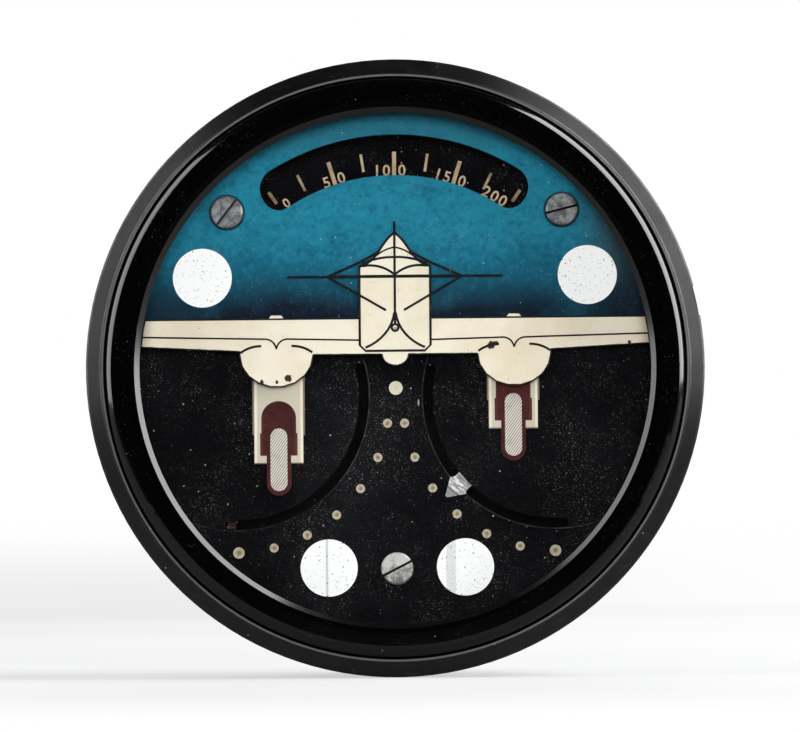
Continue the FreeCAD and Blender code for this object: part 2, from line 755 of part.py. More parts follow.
def stud_slot(side, y0, y1):
    low = STUD_Z[0] - STUD_R - STUD_SLOT_GAP
    high = STUD_Z[1] + STUD_R + STUD_SLOT_GAP + TRAVEL_90
    half = STUD_R + STUD_SLOT_GAP
    return pill(side * STUD_X, half, high, low, y0, y1)


def dot_spots():
    spots = [(0.0, DOT_TOP_Z, DOT_TOP_R)]
    for side in (-1, 1):
        for i in range(1, DOT_COUNT + 1):
            bearing = DOT_START + i * DOT_STEP
            x, z = polar(DOT_R, -side * bearing, side * DOT_CENTRE_X, DOT_CENTRE_Z)
            radius = DOT_END_R if i == DOT_COUNT else DOT_SMALL_R
            spots.append((x, z, radius))
    return spots


def make_dots():
    front = LOWER_FRONT - DOT_RAISE
    floor = LOWER_FRONT - 0.3 * DOT_RAISE
    dots = []
    for x, z, r in dot_spots():
        profile = [(0, floor), (0.75 * r, front), (r, front), (r, LOWER_FRONT), (0, LOWER_FRONT)]
        dots.append(lathe(profile, x, z))
    return Part.makeCompound(dots)


def make_lower_plate():
    y0, y1 = LOWER_FRONT, LOWER_REAR
    plate = disc(PLATE_R, y0, y1)
    cutters = [window(WINDOW_BACK_GROW, y0, y1)]
    for side in (-1, 1):
        cutters += [track(side, y0, y1), stud_slot(side, y0, y1)]
        x, z = polar(UPPER_LAMP_PCD_R, side * UPPER_LAMP_BEARING)
        cutters.append(disc(UPPER_LAMP_R - LAMP_BACK_STEP, y0, y1, x, z))
        x, z = polar(LOWER_LAMP_PCD_R, side * LOWER_LAMP_BEARING)
        cutters.append(disc(LOWER_LAMP_R, y0, y1, x, z))
        x, z = polar(UPPER_SCREW_PCD_R, side * UPPER_SCREW_BEARING)
        cutters.append(disc(SCREW_SHANK_R + SCREW_CLEARANCE, y0, y1, x, z))
    cutters.append(disc(SCREW_SHANK_R + SCREW_CLEARANCE, y0, y1, *LOWER_SCREW))
    return without(plate, cutters)


def dial_screw_spots():
    x, z = polar(UPPER_SCREW_PCD_R, UPPER_SCREW_BEARING)
    return (
        ((-x, z), UPPER_FRONT, SCREW_SLOT_TILT["left"]),
        ((x, z), UPPER_FRONT, SCREW_SLOT_TILT["right"]),
        (LOWER_SCREW, LOWER_FRONT, SCREW_SLOT_TILT["low"]),
    )


def make_dial_screws():
    screws = []
    for spot, seat, tilt in dial_screw_spots():
        screws.append(slotted_screw(spot, seat - SCREW_HEAD_THICK, SCREW_HEAD_R, SCREW_HEAD_THICK,
                                    SCREW_SHANK_R, MOVEMENT_FRONT - SCREW_END_GAP, tilt))
    return Part.makeCompound(screws)


def make_dial_posts():
    posts = []
    for (x, z), seat, tilt in dial_screw_spots():
        post = disc(SCREW_HEAD_R, LOWER_REAR, MOVEMENT_FRONT, x, z)
        posts.append(post.cut(disc(SCREW_SHANK_R, LOWER_REAR, MOVEMENT_FRONT - SCREW_END_GAP,
                              x, z)))
    return Part.makeCompound(posts)


def make_dial_spacers():
    spacers = []
    for side in (-1, 1):
        x, z = polar(UPPER_SCREW_PCD_R, side * UPPER_SCREW_BEARING)
        spacers.append(ring(SCREW_HEAD_R, SCREW_SHANK_R + SCREW_CLEARANCE,
                            UPPER_REAR, LOWER_FRONT, x, z))
    return Part.makeCompound(spacers)


# Signal lamps


def lamp_spots():
    """Centre, visible radius and seat of each of the four lamps."""
    spots = []
    for side in (-1, 1):
        x, z = polar(UPPER_LAMP_PCD_R, side * UPPER_LAMP_BEARING)
        spots.append((x, z, UPPER_LAMP_R, UPPER_FRONT))
    for side in (-1, 1):
        x, z = polar(LOWER_LAMP_PCD_R, side * LOWER_LAMP_BEARING)
        spots.append((x, z, LOWER_LAMP_R, LOWER_FRONT))
    return spots


def make_lenses():
    lenses = []
    for x, z, radius, seat in lamp_spots():
        rear = seat + PLATE_THICK
        lens = disc(radius, seat, rear, x, z)
        flange = disc(radius + LENS_FLANGE, rear, rear + PLATE_GAP, x, z)
        lenses.append(joined([lens, flange]))
    return Part.makeCompound(lenses)


def lens_rear(seat):
    return seat + PLATE_THICK + PLATE_GAP


def make_shrouds():
    tubes = []
    for x, z, radius, seat in lamp_spots():
        outer = radius + LENS_FLANGE
        front = max(lens_rear(seat), LOWER_REAR)
        tubes.append(ring(outer, outer - SHROUD_WALL, front, MOVEMENT_FRONT, x, z))
    return Part.makeCompound(tubes)


def make_bulbs():
    bulbs = []
    for x, z, radius, seat in lamp_spots():
        tip, neck = MOVEMENT_FRONT - BULB_LONG, 0.8 * BULB_R
        profile = [(0, tip), (neck, tip + BULB_CAP), (BULB_R, tip + BULB_NOSE), (BULB_R, MOVEMENT_FRONT),
                   (0, MOVEMENT_FRONT + BULB_SEAT)]
        bulbs.append(lathe(profile, x, z))
    return Part.makeCompound(bulbs)


def make_sockets():
    sockets = []
    for x, z, radius, seat in lamp_spots():
        rear = MOVEMENT_FRONT + MOVEMENT_THICK
        profile = [(0, MOVEMENT_FRONT + BULB_SEAT), (BULB_R, MOVEMENT_FRONT),
                   (SOCKET_R, MOVEMENT_FRONT), (SOCKET_R, rear), (SOCKET_R + SOCKET_FLANGE, rear),
                   (0.7 * SOCKET_R, rear + SOCKET_LONG), (0, rear + SOCKET_LONG)]
        sockets.append(lathe(profile, x, z))
    return Part.makeCompound(sockets)


# Pressure scale


def make_scale_plate():
    reach = WINDOW_HALF_ANGLE + SCALE_REACH
    return band(WINDOW_IN_R - SCALE_MARGIN, WINDOW_OUT_R + SCALE_MARGIN, -reach, reach, SCALE_FRONT,
                SCALE_FRONT + SCALE_THICK)


def make_scale_posts():
    posts = []
    for side in (-1, 1):
        x, z = polar(WINDOW_IN_R, side * (WINDOW_HALF_ANGLE + 0.5 * SCALE_REACH))
        posts.append(disc(SCALE_POST_R, SCALE_FRONT + SCALE_THICK, MOVEMENT_FRONT, x, z))
    return Part.makeCompound(posts)


def make_scale_marks():
    y0, y1 = SCALE_FRONT - MARK_THICK, SCALE_FRONT
    marks = []
    for i in range(SCALE_MARKS):
        bearing = -SCALE_HALF_ANGLE + 2 * i * SCALE_HALF_ANGLE / (SCALE_MARKS - 1)
        length, width = TICK_MIDDLE if i % 2 else TICK_LONG
        if i in (0, SCALE_MARKS - 1):
            length, width = TICK_END
        marks.append(stroke(polar(TICK_OUT_R, bearing), polar(TICK_OUT_R - length, bearing),
                            width, y0, y1))
    return Part.makeCompound(marks)


# Pressure gauge works


def make_gauge_arbor():
    y0, y1 = SECTOR_FRONT - 0.4, SECTOR_FRONT + SECTOR_THICK + 0.4
    teeth, root = gear(GAUGE_MODULE, GAUGE_PINION_TEETH, GAUGE_ANGLE, 180.0, 0,
                       GAUGE_PINION_TEETH - 1, y0, y1, False, 0, 0)
    shaft = disc(GAUGE_ARBOR_R, GAUGE_ARBOR_FRONT, BRIDGE_FRONT + BRIDGE_THICK)
    return joined([shaft, teeth])


def make_needle():
    y0, y1 = NEEDLE_FRONT, NEEDLE_FRONT + NEEDLE_THICK
    wide, narrow = NEEDLE_HALF, NEEDLE_POINT_HALF
    outline = [(-wide, -NEEDLE_TAIL), (wide, -NEEDLE_TAIL), (wide, 0.45 * NEEDLE_TIP_R),
               (narrow, NEEDLE_TIP_R), (-narrow, NEEDLE_TIP_R), (-wide, 0.45 * NEEDLE_TIP_R)]
    hub = disc(NEEDLE_HUB_R, y0, y1 + 1.0)
    needle = joined([slab(outline, y0, y1), hub]).cut(disc(GAUGE_ARBOR_R, y0 - 1, y1 + 2))
    return turned(needle, NEEDLE_REST)


def make_sector():
    y0, y1 = SECTOR_FRONT, SECTOR_FRONT + SECTOR_THICK
    teeth, root = gear(GAUGE_MODULE, GAUGE_SECTOR_TEETH, GAUGE_ANGLE, 0.0, -4, 6, y0, y1, True,
                       0, SECTOR_Z)
    inner = band(SECTOR_HUB_R + 2.0, root - SECTOR_RIM, *SECTOR_SPOKE, y0, y1, 0, SECTOR_Z)
    hub = disc(SECTOR_HUB_R, y0, y1, 0, SECTOR_Z)
    tail_bearing = -90 + 0.5 * SECTOR_SWING
    pin = polar(SECTOR_TAIL, tail_bearing, 0, SECTOR_Z)
    tail = stroke((0, SECTOR_Z), pin, SECTOR_HUB_R, y0, y1)
    end = disc(PIN_EYE_R, y0, y1, *pin)
    peg = disc(LINK_PIN_R, y0, LINK_FRONT + LINK_THICK + 0.3, *pin)
    sector = joined([teeth.cut(inner), hub, tail, end, peg])
    return sector.cut(disc(GAUGE_ARBOR_R, y0 - 1, y1 + 1, 0, SECTOR_Z))


def make_sector_arbor():
    return disc(GAUGE_ARBOR_R, MOVEMENT_FRONT, BRIDGE_FRONT + BRIDGE_THICK, 0, SECTOR_Z)


def link_pins():
    lower = polar(SECTOR_TAIL, -90 + 0.5 * SECTOR_SWING, 0, SECTOR_Z)
    return lower, (lower[0], -LINK_TURN)


def make_link():
    y0, y1 = LINK_FRONT, LINK_FRONT + LINK_THICK
    low, high = link_pins()
    travel = SECTOR_TAIL * math.radians(SECTOR_SWING)
    x = low[0]
    hole = LINK_PIN_R + LINK_PIN_GAP
    body = pill(x, hole + LINK_WALL, high[1] + travel + hole + 0.3 + LINK_WALL,
                low[1] - hole - LINK_WALL, y0, y1)
    eye = pill(x, hole, high[1] + travel + hole + 0.2, high[1] - hole, y0, y1)
    return body.cut(eye).cut(disc(hole, y0, y1, x, low[1]))


def make_bridge():
    y0, y1 = BRIDGE_FRONT, BRIDGE_FRONT + BRIDGE_THICK
    feet = (SECTOR_Z - BRIDGE_PAST, BRIDGE_PAST + PINION_PITCH_R)
    end = BRIDGE_POST_R + 0.3
    bar = block(-BRIDGE_HALF, BRIDGE_HALF, y0, y1, feet[0] - end, feet[1] + end)
    posts = []
    for z in feet:
        posts.append(disc(BRIDGE_POST_R, MOVEMENT_FRONT + MOVEMENT_THICK, y0, 0, z))
    bridge = joined([bar] + posts)
    hole = GAUGE_ARBOR_R + RUNNING_GAP
    return without(bridge, [disc(hole, y0, y1), disc(hole, y0, y1, 0, SECTOR_Z)])


def make_hairspring():
    y0, y1 = SPRING_FRONT, SPRING_FRONT + SPRING_TALL
    count = SPRING_TURNS * SPRING_STEPS
    points = []
    for i in range(count + 1):
        radius = SPRING_IN_R + (SPRING_OUT_R - SPRING_IN_R) * i / count
        points.append(polar(radius, 360.0 * i / SPRING_STEPS))
    spring = path(points, SPRING_THICK, y0, y1)
    stud = block(-0.6, 0.6, y0, BRIDGE_FRONT, SPRING_OUT_R - 0.1, SPRING_OUT_R + 0.9)
    return joined([spring, stud])


def make_bourdon():
    half = 0.5 * BOURDON_SECTION
    profile = [
        (BOURDON_R - half, BOURDON_FRONT + BOURDON_CORNER),
        (BOURDON_R - half + BOURDON_CORNER, BOURDON_FRONT),
        (BOURDON_R + half - BOURDON_CORNER, BOURDON_FRONT),
        (BOURDON_R + half, BOURDON_FRONT + BOURDON_CORNER),
        (BOURDON_R + half, BOURDON_REAR - BOURDON_CORNER),
        (BOURDON_R + half - BOURDON_CORNER, BOURDON_REAR),
        (BOURDON_R - half + BOURDON_CORNER, BOURDON_REAR),
        (BOURDON_R - half, BOURDON_REAR - BOURDON_CORNER),
    ]
    points = [V(-r, y, 0) for r, y in profile]
    points.append(points[0])
    return Part.Face(Part.makePolygon(points)).revolve(V(0, 0, 0), REAR, BOURDON_SWEEP)


def make_bourdon_end():
    low, high = link_pins()
    x, z = high
    y0, y1 = LINK_FRONT + LINK_THICK + 0.4, BOURDON_REAR
    half = 0.5 * BOURDON_SECTION + END_WALL
    cap = block(-BOURDON_R - half, -BOURDON_R + half, y0, y1, -END_TALL, 0.0)
    arm = block(-BOURDON_R, x + END_ARM, y0, y0 + END_ARM, -2 * LINK_TURN, 0.0)
    peg = disc(LINK_PIN_R, LINK_FRONT - 0.3, y0, x, z)
    return joined([cap, arm, peg])


def make_union():
    half = UNION_SEAT_HALF
    seat = block(-half, half, BOURDON_FRONT - 0.4, BACK_PLATE_FRONT, PORT_Z - half, PORT_Z + half)
    seat = seat.cut(make_bourdon())
    stem = disc(PORT_R, BACK_PLATE_FRONT, PORT_REAR, PORT_X, PORT_Z)
    shoulder = hexagon(UNION_HEX_ACROSS, COVER_REAR, COVER_REAR + UNION_HEX_THICK, PORT_X, PORT_Z)
    bore = disc(PORT_BORE_R, BOURDON_REAR + 1.5, PORT_REAR, PORT_X, PORT_Z)
    return joined([seat, stem, shoulder]).cut(bore)


# Movement plates and rear cover


def make_front_plate():
    y0, y1 = MOVEMENT_FRONT, MOVEMENT_FRONT + MOVEMENT_THICK
    plate = disc(PLATE_R, y0, y1)
    cutters = [disc(GAUGE_ARBOR_R + RUNNING_GAP, y0, y1),
               disc(GAUGE_ARBOR_R + RUNNING_GAP, y0, y1, 0, SECTOR_Z)]
    for side in (-1, 1):
        cutters.append(disc(BUSH_R, y0, y1, side * DRIVE_X, DRIVE_Z))
    for x, z, radius, seat in lamp_spots():
        cutters.append(disc(SOCKET_R, y0, y1, x, z))
    for spot in front_screw_spots():
        cutters.append(disc(FRONT_SCREW_R, y0, y1, *spot))
    return without(plate, cutters)


def front_screw_spots():
    return [polar(FRONT_SCREW_PCD_R, b) for b in FRONT_SCREW_BEARINGS]


def make_front_screws():
    rear = MOVEMENT_FRONT + MOVEMENT_THICK
    screws = [rear_screw(spot, rear + FRONT_HEAD_THICK, FRONT_SCREW_R, FRONT_HEAD_R,
                         FRONT_HEAD_THICK, MOVEMENT_FRONT - FRONT_SCREW_LONG)
              for spot in front_screw_spots()]
    return Part.makeCompound(screws)


def pillar_spots():
    return [polar(PILLAR_PCD_R, b) for b in PILLAR_BEARINGS]


def make_back_plate():
    y0, y1 = BACK_PLATE_FRONT, BACK_PLATE_FRONT + MOVEMENT_THICK
    plate = disc(BACK_PLATE_R, y0, y1)
    cutters = [disc(PORT_R, y0, y1, PORT_X, PORT_Z)]
    for side in (-1, 1):
        cutters.append(disc(BUSH_R, y0, y1, side * DRIVE_X, DRIVE_Z))
    for x, z, radius, seat in lamp_spots():
        cutters.append(disc(LAMP_OPENING_R, y0, y1, x, z))
    for x, z in pillar_spots():
        cutters.append(disc(SMALL_SCREW_R, y0, y1, x, z))
    return without(plate, cutters)


def make_pillars():
    pillars = []
    for x, z in pillar_spots():
        pillar = disc(PILLAR_R, MOVEMENT_FRONT + MOVEMENT_THICK, BACK_PLATE_FRONT, x, z)
        pillars.append(pillar.cut(disc(SMALL_SCREW_R, BACK_PLATE_FRONT - PILLAR_SCREW_LONG,
                                       BACK_PLATE_FRONT, x, z)))
    return Part.makeCompound(pillars)


def make_pillar_screws():
    rear = BACK_PLATE_FRONT + MOVEMENT_THICK + SMALL_HEAD_THICK
    screws = [rear_screw(spot, rear, SMALL_SCREW_R, SMALL_HEAD_R, SMALL_HEAD_THICK,
                         BACK_PLATE_FRONT - PILLAR_SCREW_LONG) for spot in pillar_spots()]
    return Part.makeCompound(screws)


def make_bushes():
    bushes = []
    bore = SHAFT_R + RUNNING_GAP
    for side in (-1, 1):
        x = side * DRIVE_X
        for front in (MOVEMENT_FRONT, BACK_PLATE_FRONT):
            bushes.append(ring(BUSH_R, bore, front, front + MOVEMENT_THICK, x, DRIVE_Z))
        cover = joined([disc(GLAND_NECK_R, COVER_FRONT, COVER_REAR, x, DRIVE_Z),
                        disc(GLAND_R, COVER_REAR, COVER_REAR + GLAND_THICK, x, DRIVE_Z)])
        bushes.append(cover.cut(disc(bore, COVER_FRONT, COVER_REAR + GLAND_THICK, x, DRIVE_Z)))
    return Part.makeCompound(bushes)


def cover_screw_spots():
    return [polar(COVER_SCREW_PCD_R, b) for b in COVER_SCREW_BEARINGS]


def clamp_spots():
    return [polar(CLAMP_PCD_R, b) for b in CLAMP_BEARINGS]


def make_cover():
    cover = lathe([(0, COVER_FRONT), (COVER_R, COVER_FRONT), (COVER_R, COVER_REAR - COVER_EDGE),
                   (COVER_R - COVER_EDGE, COVER_REAR), (0, COVER_REAR)])
    y0, y1 = COVER_FRONT, COVER_REAR
    cutters = [disc(PORT_R, y0, y1, PORT_X, PORT_Z)]
    for side in (-1, 1):
        cutters.append(disc(GLAND_NECK_R, y0, y1, side * DRIVE_X, DRIVE_Z))
    for x, z in cover_screw_spots():
        cutters.append(disc(SMALL_SCREW_R, y0, y1, x, z))
    for x, z in clamp_spots():
        cutters.append(disc(CLAMP_ROOT_R, y0, y1, x, z))
    return without(cover, cutters)


def make_cover_gasket():
    gasket = ring(COVER_R, COVER_SCREW_PCD_R - COVER_BOSS_R, BARREL_REAR, COVER_FRONT)
    for x, z in cover_screw_spots():
        gasket = gasket.cut(disc(SMALL_SCREW_R, BARREL_REAR, COVER_FRONT, x, z))
    return gasket


def make_cover_screws():
    rear = COVER_REAR + SMALL_HEAD_THICK
    screws = [rear_screw(spot, rear, SMALL_SCREW_R, SMALL_HEAD_R, SMALL_HEAD_THICK,
                         BARREL_REAR - COVER_SCREW_LONG) for spot in cover_screw_spots()]
    return Part.makeCompound(screws)


def make_clamp_studs():
    studs = []
    for x, z in clamp_spots():
        root_rear = COVER_REAR + CLAMP_NUT_THICK
        head_front = COVER_FRONT - CLAMP_HEAD_THICK
        studs.append(lathe([(0, head_front), (CLAMP_HEAD_R, head_front),
                            (CLAMP_HEAD_R, COVER_FRONT),
                            (CLAMP_ROOT_R, COVER_FRONT), (CLAMP_ROOT_R, root_rear),
                            (CLAMP_STUD_R, root_rear), (CLAMP_STUD_R, CLAMP_STUD_REAR),
                            (0, CLAMP_STUD_REAR)], x, z))
    return Part.makeCompound(studs)


def make_clamp_nuts():
    nuts = []
    for x, z in clamp_spots():
        nut = hexagon(CLAMP_NUT_ACROSS, COVER_REAR, COVER_REAR + CLAMP_NUT_THICK, x, z)
        nuts.append(nut.cut(disc(CLAMP_ROOT_R, COVER_REAR, COVER_REAR + CLAMP_NUT_THICK, x, z)))
    return Part.makeCompound(nuts)


def make_terminal_block():
    half_x, half_z = TERMINAL_HALF
    rear = COVER_REAR + TERMINAL_DEEP
    low, high = TERMINAL_Z - half_z, TERMINAL_Z + half_z
    pitch = TERMINAL_X[1] - TERMINAL_X[0]
    walls = [TERMINAL_X[0] - 0.5 * pitch + i * pitch for i in range(len(TERMINAL_X) + 1)]
    body = block(-half_x, half_x, COVER_REAR, rear, low, high)
    fins = [block(x - TERMINAL_FIN_HALF, x + TERMINAL_FIN_HALF, rear, rear + TERMINAL_FIN, low, high)
            for x in walls]
    return joined([body] + fins)


def make_terminal_screws():
    rear = COVER_REAR + TERMINAL_DEEP
    radius = TERMINAL_SCREW_R
    screws = []
    for x in TERMINAL_X:
        head = disc(radius, rear, rear + 0.7 * radius, x, TERMINAL_Z)
        slot = block(x - radius, x + radius, rear + 0.4 * radius, rear + radius,
                     TERMINAL_Z - SLOT_SHARE * radius, TERMINAL_Z + SLOT_SHARE * radius)
        screws.append(head.cut(slot))
    return Part.makeCompound(screws)


# Wheel drives


def make_shaft(side):
    x = side * DRIVE_X
    step = COVER_REAR + GLAND_THICK
    profile = [(0, SHAFT_FRONT), (SHAFT_R, SHAFT_FRONT), (SHAFT_R, step), (SHAFT_END_R, step),
               (SHAFT_END_R, SHAFT_REAR - SHAFT_CHAMFER),
               (SHAFT_END_R - SHAFT_CHAMFER, SHAFT_REAR), (0, SHAFT_REAR)]
    return lathe(profile, x, DRIVE_Z)


def make_pinion(side):
    x = side * DRIVE_X
    y0, y1 = RACK_FRONT + 0.1, RACK_REAR - 0.1
    towards = -side * 90.0
    down_turns = 0.0 if side < 0 else (90.0 - RIGHT_POINTER_REST) * GEAR_TEETH / 360.0
    up_turns = 90.0 * GEAR_TEETH / 360.0 - down_turns
    first = -int(down_turns) - PINION_SPARE_TEETH
    last = int(up_turns) + PINION_SPARE_TEETH
    if side < 0:
        first, last = -last, -first
    teeth, root = gear(GEAR_MODULE, GEAR_TEETH, GEAR_ANGLE, towards, first, last, y0, y1, False,
                       x, DRIVE_Z)
    body = disc(root - PINION_RIM, y0, y1, x, DRIVE_Z)
    hub = disc(PINION_HUB_R, y1, y1 + PINION_HUB_LONG, x, DRIVE_Z)
    return joined([teeth, body, hub]).cut(disc(SHAFT_R, y0 - 1, y1 + 3, x, DRIVE_Z))


def make_pointer(side):
    """Sheet arm whose bent end comes out through the curved slot."""
    y0, y1 = ARM_FRONT, ARM_FRONT + ARM_THICK
    inner, outer = NECK_R - 0.5 * NECK_THICK, NECK_R + 0.5 * NECK_THICK
    half = STUB_HALF if side < 0 else NECK_HALF
    arm = slab([(-ARM_HALF_WIDTH, 0), (ARM_HALF_WIDTH, 0), (half, outer), (-half, outer)], y0, y1)
    neck = block(-half, half, TIP_FRONT, y1, inner, outer)
    bend = [e for e in neck.Edges if e.BoundBox.YMax < TIP_FRONT + NECK_BEND
            and e.BoundBox.ZMax < NECK_R]
    shapes = [arm, neck.makeFillet(NECK_BEND, bend), disc(HUB_R, y0, RACK_FRONT)]
    if side > 0:
        head = [(-half, NECK_R), (half, NECK_R), (TIP_HALF_WIDTH, TIP_BASE_R),
                (TIP_POINT_HALF, TIP_END_R), (-TIP_POINT_HALF, TIP_END_R),
                (-TIP_HALF_WIDTH, TIP_BASE_R)]
        shapes.append(slab(head, TIP_FRONT, TIP_FRONT + TIP_THICK))
    pointer = joined(shapes).cut(disc(SHAFT_R, y0, RACK_FRONT))
    rest = LEFT_POINTER_REST if side < 0 else RIGHT_POINTER_REST
    pointer = turned(pointer, -side * (90.0 + rest))
    pointer.translate(V(side * DRIVE_X, 0, DRIVE_Z))
    return pointer


def make_rack(side, raise_by):
    pitch_x = DRIVE_X - PITCH_R
    step = math.pi * GEAR_MODULE
    slope = math.tan(math.radians(GEAR_ANGLE))
    tip = TOOTH_TIP * GEAR_MODULE
    root = TOOTH_ROOT * GEAR_MODULE
    half = 0.25 * step - 0.25 * GEAR_BACKLASH
    top = RACK_TOP + raise_by
    bottom = RACK_BOTTOM + raise_by
    body = block(RACK_BACK_X, pitch_x - root, RACK_FRONT, RACK_REAR, bottom, top)
    shapes = [body]
    number = int((top - bottom) / step)
    for k in range(-number, number):
        z = DRIVE_Z + (k + 0.5) * step
        if z < bottom + RACK_PLAIN or z > bottom + RACK_PLAIN + TRAVEL_90 + RACK_SPARE:
            continue
        tooth = [(pitch_x - root, z - half - root * slope), (pitch_x + tip, z - half + tip * slope),
                 (pitch_x + tip, z + half - tip * slope), (pitch_x - root, z + half + root * slope)]
        shapes.append(slab(tooth, RACK_FRONT, RACK_REAR))
    for z in STUD_Z:
        shapes.append(disc(STUD_R, LEG_FRONT + 0.1, RACK_FRONT, STUD_X, z + raise_by))
    rack = joined(shapes)
    if side < 0:
        rack = rack.mirror(V(0, 0, 0), V(1, 0, 0))
    return rack


def arch_shape(x, lift, y0, y1):
    top = pill(x, ARCH_HALF, ARCH_TOP + lift, LEG_STEP - 3.0 + lift, y0, y1)
    foot = block(x - ARCH_FOOT_HALF, x + ARCH_FOOT_HALF, y0, y1, ARCH_BOTTOM + lift,
                 LEG_STEP + 0.4 + lift)
    return top, foot


def wheel_shapes(side, lift):
    x = side * WHEEL_X
    y0, y1 = LEG_FRONT, LEG_FRONT + LEG_THICK
    top, foot = arch_shape(x, lift, y0, y1)
    rim = pill(x, TYRE_HALF + WHEEL_RIM, TYRE_TOP + lift + WHEEL_RIM,
               TYRE_BOTTOM + lift - 1.2 * WHEEL_RIM, y0, y1)
    guard = joined([top, foot, rim])
    tyre = pill(x, TYRE_HALF, TYRE_TOP + lift, TYRE_BOTTOM + lift, y0, y1)
    outline = [(x - LEG_HALF, LEG_TOP + lift), (x + LEG_HALF, LEG_TOP + lift),
               (x + LEG_HALF, LEG_STEP + lift), (x + LEG_FOOT_HALF, LEG_STEP + lift),
               (x + LEG_FOOT_HALF, LEG_BOTTOM + lift), (x - LEG_FOOT_HALF, LEG_BOTTOM + lift),
               (x - LEG_FOOT_HALF, LEG_STEP + lift), (x - LEG_HALF, LEG_STEP + lift)]
    leg = slab(outline, y0, y1).cut(guard)
    for z in STUD_Z:
        leg = leg.cut(disc(STUD_R, y0, y1, side * STUD_X, z + lift))
    return leg, guard.cut(tyre), tyre


def make_rack_guides():
    guides = []
    for side in (-1, 1):
        inner, outer = RACK_BACK_X - GUIDE_WALL, RACK_BACK_X - RUNNING_GAP
        x0, x1 = sorted((side * inner, side * outer))
        wall = block(x0, x1, RACK_FRONT, MOVEMENT_FRONT, *GUIDE_ENDS)
        x0, x1 = sorted((side * inner, side * (RACK_BACK_X + GUIDE_LIP)))
        lip = block(x0, x1, RACK_REAR + RUNNING_GAP, MOVEMENT_FRONT, *GUIDE_ENDS)
        guides.append(joined([wall, lip]))
    return Part.makeCompound(guides)


def make_all():
    relief = make_relief()
    save("case_body", make_case())
    save("bezel_ring", make_bezel())
    save("front_glass", disc(GLASS_R, GLASS_FRONT, GASKET_FRONT))
    save("glass_gasket", ring(GLASS_R, RING_IN_R, GASKET_FRONT, GASKET_REAR))
    save("glass_spacer_ring", make_spacer_ring())
    save("upper_dial_plate", make_upper_plate())
    save("aircraft_relief", relief)
    save("aircraft_linework", make_linework(relief))
    save("lower_dial_plate", make_lower_plate())
    save("luminous_dots", make_dots())
    save("dial_screws", make_dial_screws())
    save("dial_posts", make_dial_posts())
    save("dial_spacers", make_dial_spacers())
    save("signal_lenses", make_lenses())
    save("lamp_shrouds", make_shrouds())
    save("lamp_bulbs", make_bulbs())
    save("lamp_sockets", make_sockets())
    save("scale_plate", make_scale_plate())
    save("scale_posts", make_scale_posts())
    save("scale_marks", make_scale_marks())
    save("movement_front_plate", make_front_plate())
    save("movement_front_screws", make_front_screws())
    save("movement_back_plate", make_back_plate())
    save("movement_pillars", make_pillars())
    save("movement_pillar_screws", make_pillar_screws())
    save("shaft_bushes", make_bushes())
    save("rack_guides", make_rack_guides())
    save("gauge_arbor", make_gauge_arbor())
    save("pressure_pointer", make_needle())
    save("gauge_sector", make_sector())
    save("gauge_sector_arbor", make_sector_arbor())
    save("gauge_link", make_link())
    save("gauge_bridge", make_bridge())
    save("gauge_hairspring", make_hairspring())
    save("bourdon_tube", make_bourdon())
    save("bourdon_end_piece", make_bourdon_end())
    save("pressure_union", make_union())
    save("rear_cover", make_cover())
    save("rear_cover_gasket", make_cover_gasket())
    save("rear_cover_screws", make_cover_screws())
    save("clamp_studs", make_clamp_studs())
    save("clamp_nuts", make_clamp_nuts())
    save("terminal_block", make_terminal_block())
    save("terminal_screws", make_terminal_screws())
    for name, side, lift in wheel_sides():
        leg, guard, tyre = wheel_shapes(side, lift)
        save(name + "_leg_plate", leg)
        save(name + "_mudguard", guard)
        save(name + "_tyre", tyre)
        save(name + "_rack", make_rack(side, lift))
        save(name + "_pinion", make_pinion(side))
        save(name + "_pointer", make_pointer(side))
        save(name + "_drive_shaft", make_shaft(side))


os.makedirs("parts", exist_ok=True)
make_all()
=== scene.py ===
import json
import math

import bmesh
import bpy
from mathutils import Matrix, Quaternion, Vector, noise


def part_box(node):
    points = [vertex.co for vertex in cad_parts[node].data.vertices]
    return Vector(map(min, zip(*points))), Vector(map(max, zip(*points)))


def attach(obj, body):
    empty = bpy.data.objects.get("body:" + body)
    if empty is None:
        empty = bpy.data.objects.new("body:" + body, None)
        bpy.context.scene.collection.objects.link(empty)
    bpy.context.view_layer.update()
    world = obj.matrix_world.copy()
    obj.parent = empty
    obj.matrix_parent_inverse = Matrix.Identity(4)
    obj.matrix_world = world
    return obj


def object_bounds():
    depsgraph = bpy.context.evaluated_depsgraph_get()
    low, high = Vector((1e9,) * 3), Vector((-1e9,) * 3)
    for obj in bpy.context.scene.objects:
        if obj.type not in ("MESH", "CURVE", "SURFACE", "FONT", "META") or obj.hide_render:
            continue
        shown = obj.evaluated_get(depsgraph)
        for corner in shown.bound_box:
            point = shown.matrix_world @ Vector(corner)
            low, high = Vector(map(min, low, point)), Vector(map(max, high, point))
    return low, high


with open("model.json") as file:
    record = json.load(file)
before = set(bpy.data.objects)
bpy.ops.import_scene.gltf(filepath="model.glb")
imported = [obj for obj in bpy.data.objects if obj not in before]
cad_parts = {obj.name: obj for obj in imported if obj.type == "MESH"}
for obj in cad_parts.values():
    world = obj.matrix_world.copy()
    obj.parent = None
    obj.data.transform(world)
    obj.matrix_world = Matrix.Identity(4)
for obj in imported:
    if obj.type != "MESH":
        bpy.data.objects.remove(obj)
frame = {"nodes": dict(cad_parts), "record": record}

CAD_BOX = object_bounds()
MM = 0.001

# Camera, set by the photograph's frame of 800 by 732 pixels
IMAGE_WIDTH = 800
SENSOR_MM = 36.0
CAMERA_DISTANCE = 0.87
CAMERA_DROP_DEG = 3.0
CAMERA_SIDE_DEG = 0.66
CAMERA_ROLL_DEG = 0.487
PIXEL_ON_DIAL = 0.21194 * MM
CENTRE_SHIFT_PX = (4.53, 3.02)

